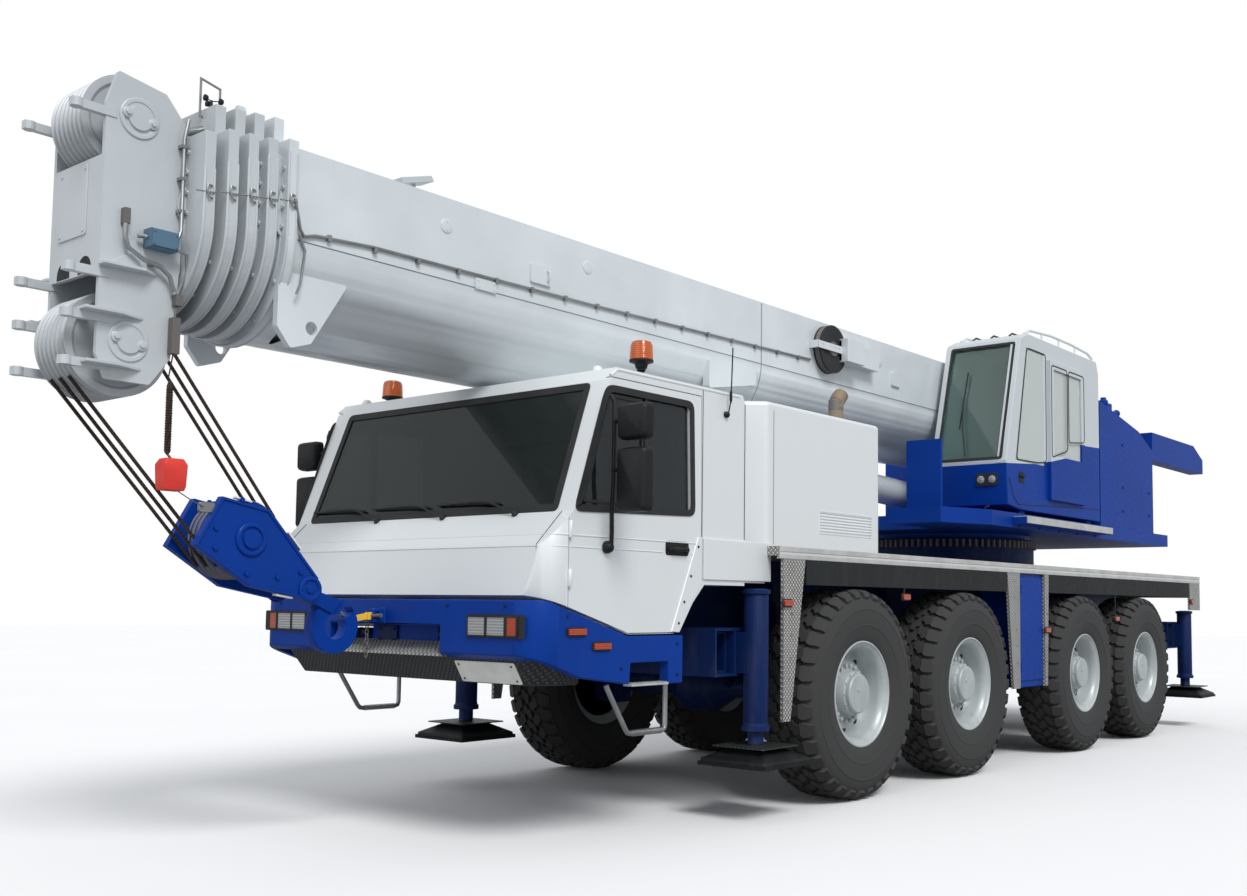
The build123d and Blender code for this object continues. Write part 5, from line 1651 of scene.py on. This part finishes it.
@dataclass
class Superstructure:
    """Ring teeth, step grating, winch rope, hoses and bolts of the slewing upper works."""

    ring_x: float = -2.38
    side_y: float = 1.25
    winch_at: Pair = (-5.78, 2.6)
    tooth_count: int = 88
    bolt_count: int = 48
    grating_bars: int = 50
    rope_turns: int = 26
    body: str = "superstructure"

    def ring(self) -> None:
        """Toothed slewing ring and its bolt circle."""
        teeth = Shape("ring_teeth")
        half = 0.3 * math.tau / self.tooth_count
        ring = [(0.838, -1.0), (0.864, -0.55), (0.864, 0.55), (0.838, 1.0)]
        for angle in spokes(self.tooth_count):
            teeth.prism([[Vector((self.ring_x + r * math.cos(angle + w * half),
                r * math.sin(angle + w * half), z)) for r, w in ring] for z in (1.905, 1.975)])
        teeth.done(Finish.IRON, "carrier")
        bolts = Shape("ring_bolts")
        for angle in spokes(self.bolt_count):
            bolts.turned((self.ring_x + 0.775 * math.cos(angle), 0.775 * math.sin(angle), 1.9905), "z",
                [(0.015, 0.0), (0.015, 0.014), (0.01, 0.017)], 8)
        bolts.done(Finish.IRON, self.body)

    def steps(self) -> None:
        """Comb grating on the side step, its edge and the platform's front handle."""
        grating = Shape("side_grating")
        for k in range(self.grating_bars):
            x = -3.19 + k * 0.0413
            grating.box((x - 0.012, x + 0.012), (1.262, 1.388), (2.124, 2.132))
        grating.box((-3.2, -1.15), (1.388, 1.394), (2.07, 2.132))
        grating.done(Finish.SILL, self.body)
        handle = Shape("platform_handle")
        handle.tube([(-0.748, 1.2, 2.12), (-0.722, 1.2, 2.135), (-0.722, 1.2, 2.185), (-0.8, 1.2, 2.2)],
            0.009)
        handle.done(Finish.BLACK, self.body)
        edge = Shape("platform_bolts")
        edge.bolts([(x, self.side_y, 2.05) for x in (-1.3, -1.75, -2.2, -2.65, -3.1)], "y", 0.012, 0.008)
        rear = ((-3.9, 2.35), (-3.9, 2.6), (-4.7, 2.35), (-4.7, 2.6), (-3.9, 3.05))
        edge.bolts([(x, self.side_y, z) for x, z in rear], "y", 0.014, 0.01)
        edge.done(Finish.BLUE, self.body)

    def winch(self) -> None:
        """Rope laid on the drum and flange bolts."""
        lay = Shape("winch_rope")
        x, z = self.winch_at
        for k in range(self.rope_turns):
            lay.turned((x, -0.312 + k * 0.025, z), "y", [(0.2, -0.011), (0.218, -0.004), (0.218, 0.004),
                (0.2, 0.011)], 48)
        lay.done(Finish.ROPE, self.body)
        bolts = Shape("winch_bolts")
        for _, side in SIDES:
            spots = [(x + 0.25 * math.cos(a), side * 0.35, z + 0.25 * math.sin(a)) for a in spokes(12)]
            bolts.bolts(spots, "y", 0.012, side * 0.01)
        bolts.done(Finish.STEEL, self.body)

    def hoses(self) -> None:
        """Hydraulic hoses and couplings behind the crane cab."""
        lines = Shape("upper_hoses")
        for k in range(4):
            y = 0.7 + k * 0.085
            lines.tube([(-3.36, y, 3.4 - k * 0.03), (-3.42, y + 0.02, 3.52 - k * 0.02),
                (-3.56, y + 0.05, 3.58 - k * 0.03), (-3.72, y + 0.05, 3.5 - k * 0.02),
                (-3.84, y + 0.02, 3.37)], 0.015, 10)
        lines.done(Finish.SEAL, self.body)
        block = Shape("valve_block")
        block.box((-4.3, -4.16), (0.86, 1.0), (3.24, 3.56))
        block.turned((-4.23, 0.93, 3.56), "z", [(0.05, 0.0), (0.05, 0.03), (0.03, 0.05), (0.03, 0.07)], 20)
        block.tube([(-4.2, 0.93, 3.42), (-4.6, 0.93, 3.5)], 0.03, 14)
        block.turned((-4.6, 0.93, 3.5), "x", [(0.042, -0.03), (0.042, 0.0), (0.03, 0.01)], 16)
        block.tube([(-4.05, 0.93, 3.43), (-3.9, 0.93, 3.41), (-3.8, 0.9, 3.38)], 0.018, 10)
        block.done(Finish.BLUE, self.body, bevel=0.006)

    def build(self) -> None:
        """Build the upper works' fittings."""
        self.ring()
        self.steps()
        self.winch()
        self.hoses()


@dataclass
class Deck:
    """Sill groove, rivets, markers, locker seams and rear lamps round the carrier's deck."""

    half: float = 1.36
    ends: Pair = (-6.068, 2.588)
    locker_face: float = 1.3347

    def sill(self) -> None:
        """Aluminium sill with its groove along both sides."""
        rail = Shape("deck_sill")
        for _, side in SIDES:
            low, high = side * self.half, side * (self.half + 0.004)
            for span in ((1.632, 1.659), (1.676, 1.708)):
                rail.box(self.ends, ordered(low, high), span)
        rail.done(Finish.SILL, "carrier", bevel=0.001)

    def strips(self) -> None:
        """Rivets on the tread-plate strips and markers hung on the sides."""
        rivets = Shape("strip_rivets")
        for _, side in SIDES:
            for top, low in ((2.42, 2.5), (-0.94, -1.02), (-1.64, -1.6), (-5.9, -5.9)):
                for k in range(7):
                    z = 1.56 - k * 0.14
                    if low < -5 and z < 1.34:
                        continue
                    x = top + (low - top) * (1.6 - z)
                    rivets.turned((x, side * self.half, z), "y", [(0.01, -0.001), (0.009, 0.003),
                        (0.003, 0.005)], 10, side)
        rivets.done(Finish.STEEL, "carrier")
        amber = Shape("side_markers")
        plinth = Shape("side_marker_plinths")
        for _, side in SIDES:
            for x, z in ((2.505, 1.346), (0.962, 1.4), (-1.62, 1.133), (-3.34, 1.23), (-5.75, 1.42)):
                amber.plate("y", oblong((x - 0.05, x + 0.05), (z - 0.02, z + 0.02), 0.01),
                    side * (self.half + 0.004), side * (self.half + 0.022))
                plinth.plate("y", oblong((x - 0.058, x + 0.058), (z - 0.027, z + 0.027), 0.01),
                    side * self.half, side * (self.half + 0.005))
                if x in (0.962, -3.34):
                    plinth.rod((x, side * (self.half - 0.008), z), (x, side * (self.half - 0.008), 1.47),
                        0.007, sides=8)
        amber.done(Finish.SIDE_AMBER, "carrier", bevel=0.003)
        plinth.done(Finish.SEAL, "carrier", bevel=0.001)

    def lockers(self) -> None:
        """Door seams, hinges and latch of the lockers."""
        lid = Shape("locker_lids")
        for _, side in SIDES:
            face, lip = side * self.locker_face, side * (self.locker_face + 0.012)
            lid.plate("y", oblong((-1.56, -1.08), (0.7, 1.59), 0.03), face, lip)
            for z in (1.45, 0.78):
                lid.rod((-1.1, lip, z), (-1.1, lip, z + 0.08), 0.01, sides=10)
        lid.done(Finish.BLUE, "carrier", bevel=0.006)

    def tail(self) -> None:
        """Rear lamp lenses and the carrier's tail fittings."""
        red = Shape("tail_lamp_lenses")
        for _, side in SIDES:
            for low, high in ((0.91, 1.01), (1.02, 1.13)):
                red.box((-6.113, -6.108), ordered(side * low, side * high), (1.51, 1.61))
        red.done(Finish.RED_LENS, "carrier", bevel=0.002)
        bolts = Shape("tail_bolts")
        bolts.bolts([(-6.07, y, z) for y in (-0.7, -0.35, 0.35, 0.7) for z in (1.5, 1.62)], "x", 0.012,
            -0.008)
        bolts.done(Finish.STEEL, "carrier")

    def build(self) -> None:
        """Build the deck's trim."""
        self.sill()
        self.strips()
        self.lockers()
        self.tail()


@dataclass
class EngineCover:
    """Panel lines, grille bars and rusty exhaust of the engine cover."""

    half: float = 1.25
    slat_count: int = 7
    pipe_foot: Point = (1.27, 0.95, 2.662)
    pipe_radius: float = 0.056

    def build(self) -> None:
        """Build the cover's trim."""
        slats = Shape("cover_slats")
        for _, side in SIDES:
            back, front = side * (self.half - 0.0065), side * (self.half + 0.001)
            for k in range(self.slat_count):
                z = 1.842 + k * 0.0205
                slat = [(back, z), (front, z + 0.002), (front, z + 0.006), (back, z + 0.016)]
                slats.plate("x", slat, 1.262, 1.948)
            slats.frame("y", [(1.252, 1.822), (1.958, 1.822), (1.958, 1.983), (1.252, 1.983)], 0.01,
                side * (self.half - 0.001), side * (self.half + 0.003))
        slats.done(Finish.CAB_WHITE, "carrier")
        seams = Shape("cover_seams")
        for _, side in SIDES:
            seams.tube([(2.506, side * (self.half + 0.0003), z) for z in (2.6, 1.725)], 0.0025, 6)
        seams.done(Finish.SEAM_GREY, "carrier")
        pipe = Shape("exhaust_elbow")
        pipe.prism([[centre + turn @ Vector((size * math.cos(a), size * math.sin(a), 0)) for a in spokes(28)]
            for centre, turn, size in elbow_rings(self.pipe_foot, self.pipe_radius)])
        pipe.done(Finish.RUST, "carrier")


def elbow_rings(foot: Point, radius: float) -> list[tuple[Vector, object, float]]:
    """Ring places along an upright pipe that turns back and flares slightly.

    Args:
        foot: Middle of the pipe's lower end.
        radius: Pipe radius.

    Returns:
        Centre, turn and radius of each ring.
    """
    start, upright, bend = Vector(foot), Vector(UNIT["z"]), 0.13
    rings = [(start + upright * lift, upright.to_track_quat("Z", "Y"), radius) for lift in (0.0, 0.06, 0.12)]
    hub = start + Vector((-bend, 0, bend))
    for k in range(1, 9):
        angle = math.radians(60) * k / 8
        place = hub + Vector((bend * math.cos(angle), 0, bend * math.sin(angle)))
        heading = Vector((-math.sin(angle), 0, math.cos(angle)))
        rings.append((place, heading.to_track_quat("Z", "Y"), radius + 0.002 * k / 8))
    return rings


@dataclass
class Outriggers:
    """Faceted pads and jack collars at the four outriggers."""

    reach: float = 1.25
    stagger: float = 0.2
    places: tuple[tuple[str, float, float], ...] = (("front", 2.69, 1.43), ("rear", -5.83, 1.31))

    def build(self) -> None:
        """Build the pad's top and the collars of each jack."""
        for end, x_left, top in self.places:
            for name, side in SIDES:
                x = x_left if side > 0 else x_left + self.stagger
                y = side * self.reach
                pad = Shape(f"pad_{end}_{name}")
                levels = ((0.3545, 0.255), (0.372, 0.252), (0.432, 0.135), (0.444, 0.13))
                pad.prism([[Vector((x + a, y + b, z)) for a, b in oblong((-half, half), (-half, half), 0.03)]
                    for z, half in levels])
                pad.done(Finish.BLACK, f"jack_{end}_{name}", bevel=0.002)
                plate = Shape(f"pad_plate_{end}_{name}")
                plate.plate("z", oblong((x - 0.2, x + 0.2), (y - 0.2, y + 0.2), 0.02), 0.444, 0.452)
                plate.done(Finish.DARK_TREAD_PLATE, f"jack_{end}_{name}", bevel=0.001)
                collar = Shape(f"jack_collar_{end}_{name}")
                collar.turned((x, y, 0.54), "z", [(0.078, 0.0), (0.092, 0.0), (0.092, 0.03), (0.083, 0.036),
                    (0.081, 0.05)], 32)
                collar.turned((x, y, top), "z", [(0.081, -0.03), (0.092, -0.028), (0.092, -0.002),
                    (0.06, 0.004), (0.0, 0.006)], 32)
                collar.done(Finish.DEEP_BLUE, f"outrigger_beam_{end}_{name}", bevel=0.001)


@dataclass
class Studio:
    """Floor, backdrop light and the camera that matches the photograph."""

    eye: Point = (9.242, 5.949, 1.332)
    yaw: float = math.radians(-141.385)
    pitch: float = math.radians(4.163)
    roll: float = math.radians(0.586)
    focal_px: float = 1261.52
    centre_px: Pair = (691.646, 512.351)
    image_px: Pair = (1247.0, 896.0)
    sensor_mm: float = 36.0
    floor_radius: float = 60.0
    floor_drop: float = 0.002
    surround: float = 0.62
    lamps: tuple[tuple[str, float, float, Point], ...] = (("key", 2.1, 22.0, (-0.45, -1.0, -1.15)),
        ("fill", 0.55, 60.0, (-1.0, 0.2, -0.35)))

    def camera(self) -> None:
        """Place the camera at the photograph's viewing point."""
        ahead = Vector((math.cos(self.yaw) * math.cos(self.pitch), math.sin(self.yaw) * math.cos(self.pitch),
            math.sin(self.pitch)))
        right = ahead.cross(Vector((0, 0, 1))).normalized()
        up = right.cross(ahead)
        level = right * math.cos(self.roll) + up * math.sin(self.roll)
        upright = -right * math.sin(self.roll) + up * math.cos(self.roll)
        data = bpy.data.cameras.new("camera")
        data.sensor_width = self.sensor_mm
        width, height = self.image_px
        data.lens = self.focal_px * self.sensor_mm / width
        data.shift_x = (width / 2 - self.centre_px[0]) / width
        data.shift_y = (self.centre_px[1] - height / 2) / width
        data.clip_end = 200
        camera = bpy.data.objects.new("camera", data)
        turn = Matrix((level, upright, -ahead)).transposed()
        camera.matrix_world = Matrix.Translation(self.eye) @ turn.to_4x4()
        bpy.context.scene.collection.objects.link(camera)
        bpy.context.scene.camera = camera

    def floor(self) -> None:
        """Lay a pale floor that reads as white to the camera and keeps the shadow."""
        bpy.ops.mesh.primitive_circle_add(vertices=64, radius=self.floor_radius, fill_type="NGON",
            location=(0, 0, -self.floor_drop))
        floor = bpy.context.object
        floor.name = "studio_floor"
        g = Graph("studio_floor")
        seen = g.tree.nodes.new("ShaderNodeLightPath").outputs["Is Camera Ray"]
        pale = g.mix(g.noise(0.4, 2.0), (0.86, 0.86, 0.86), (0.9, 0.9, 0.9))
        g.set(Base_Color=g.mix(seen, (0.34, 0.34, 0.35), pale), Roughness=0.9)
        floor.data.materials.append(g.material)

    def light(self) -> None:
        """Light the crane from high on its left, with a bright even surround."""
        world = bpy.data.worlds.new("studio")
        bpy.context.scene.world = world
        world.use_nodes = True
        tree = world.node_tree
        tree.nodes.clear()
        path = tree.nodes.new("ShaderNodeLightPath")
        seen = tree.nodes.new("ShaderNodeMath")
        seen.operation = "MAXIMUM"
        tree.links.new(path.outputs["Is Camera Ray"], seen.inputs[0])
        tree.links.new(path.outputs["Is Transmission Ray"], seen.inputs[1])
        soft, plain = tree.nodes.new("ShaderNodeBackground"), tree.nodes.new("ShaderNodeBackground")
        soft.inputs["Color"].default_value = (0.93, 0.96, 1.0, 1.0)
        soft.inputs["Strength"].default_value = self.surround
        plain.inputs["Color"].default_value = (1.0, 1.0, 1.0, 1.0)
        plain.inputs["Strength"].default_value = 1.0
        blend = tree.nodes.new("ShaderNodeMixShader")
        tree.links.new(seen.outputs[0], blend.inputs[0])
        tree.links.new(soft.outputs[0], blend.inputs[1])
        tree.links.new(plain.outputs[0], blend.inputs[2])
        output = tree.nodes.new("ShaderNodeOutputWorld")
        tree.links.new(blend.outputs[0], output.inputs["Surface"])
        for name, energy, spread, heading in self.lamps:
            lamp = bpy.data.lights.new(name, "SUN")
            lamp.energy = energy
            lamp.angle = math.radians(spread)
            holder = bpy.data.objects.new(name, lamp)
            holder.rotation_euler = Vector(heading).to_track_quat("-Z", "Y").to_euler()
            bpy.context.scene.collection.objects.link(holder)

    def build(self) -> None:
        """Set up camera, floor and lights."""
        self.camera()
        self.floor()
        self.light()
        bpy.context.scene.view_settings.view_transform = "Standard"


NODE_GROUPS: tuple[tuple[Finish, float, tuple[str, ...]], ...] = (
    (Finish.DEEP_BLUE, 0.0, ("axle_beams",)),
    (Finish.SILVER, 0.004, ("boom_base",)),
    (Finish.TRIM, 0.01, ("cab_interior",)),
    (Finish.CAB_WHITE, 0.008, ("cab_shell",)),
    (Finish.CAB_WHITE, 0.005, ("cab_door_left", "cab_door_right")),
    (Finish.WINDSCREEN, 0.0, ("cab_glass",)),
    (Finish.DEEP_BLUE, 0.005, ("carrier_frame",)),
    (Finish.CRANE_CAB, 0.004, ("crane_cab_door",)),
    (Finish.GREEN_GLASS, 0.0, ("crane_cab_glass",)),
    (Finish.CLOTH, 0.03, ("crane_cab_seat",)),
    (Finish.CRANE_CAB, 0.01, ("crane_cab_shell",)),
    (Finish.DECK_PLATE, 0.0, ("deck",)),
    (Finish.IRON, 0.01, ("engine",)),
    (Finish.CAB_WHITE, 0.0, ("engine_cover",)),
    (Finish.BLUE, 0.008, ("front_bumper", "lockers")),
    (Finish.DARK_TREAD_PLATE, 0.0, ("front_steps",)),
    (Finish.RIM_SILVER, 0.0, ("head_sheaves",)),
    (Finish.BLUE, 0.006, ("hook_block", "slew_platform")),
    (Finish.AMBER, 0.0, ("lamps",)),
    (Finish.SILVER, 0.0, ("luff_barrel",)),
    (Finish.CHROME, 0.0, ("luff_rod",)),
    (Finish.BLUE, 0.01, ("rear_body",)),
    (Finish.ROPE, 0.0, ("rope_falls",)),
    (Finish.SKIRT, 0.003, ("side_skirts",)),
    (Finish.BLUE, 0.0, ("winch",)),
    (Finish.BLACK, 0.02, ("mirror_left", "mirror_right")),
)
NODE_FINISH: dict[str, tuple[Finish, float]] = {
    node: (finish, bevel) for finish, bevel, nodes in NODE_GROUPS for node in nodes
}


def dress_nodes() -> None:
    """Give every CAD node its finish."""
    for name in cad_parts:
        if name.startswith("boom_section"):
            spare = Finish.HEAD_SILVER
        else:
            spare = Finish.JACK if name.startswith("jack") else Finish.DEEP_BLUE
        finish, bevel = NODE_FINISH.get(name, (spare, NODE_BEVEL))
        dress(name, finish, bevel)


def main() -> None:
    """Build the whole crane."""
    Studio().build()
    dress_nodes()
    for axle in range(1, 5):
        for side_name, side in SIDES:
            RoadWheel(axle, side_name, side).build()
    for assembly in (DriverCab, FrontEnd, EngineCover, Deck, Outriggers, Superstructure, CraneCab, Boom,
            BoomHead, HookBlock):
        assembly().build()


if __name__ == "__main__":
    logging.basicConfig(level=logging.WARNING)
    main()
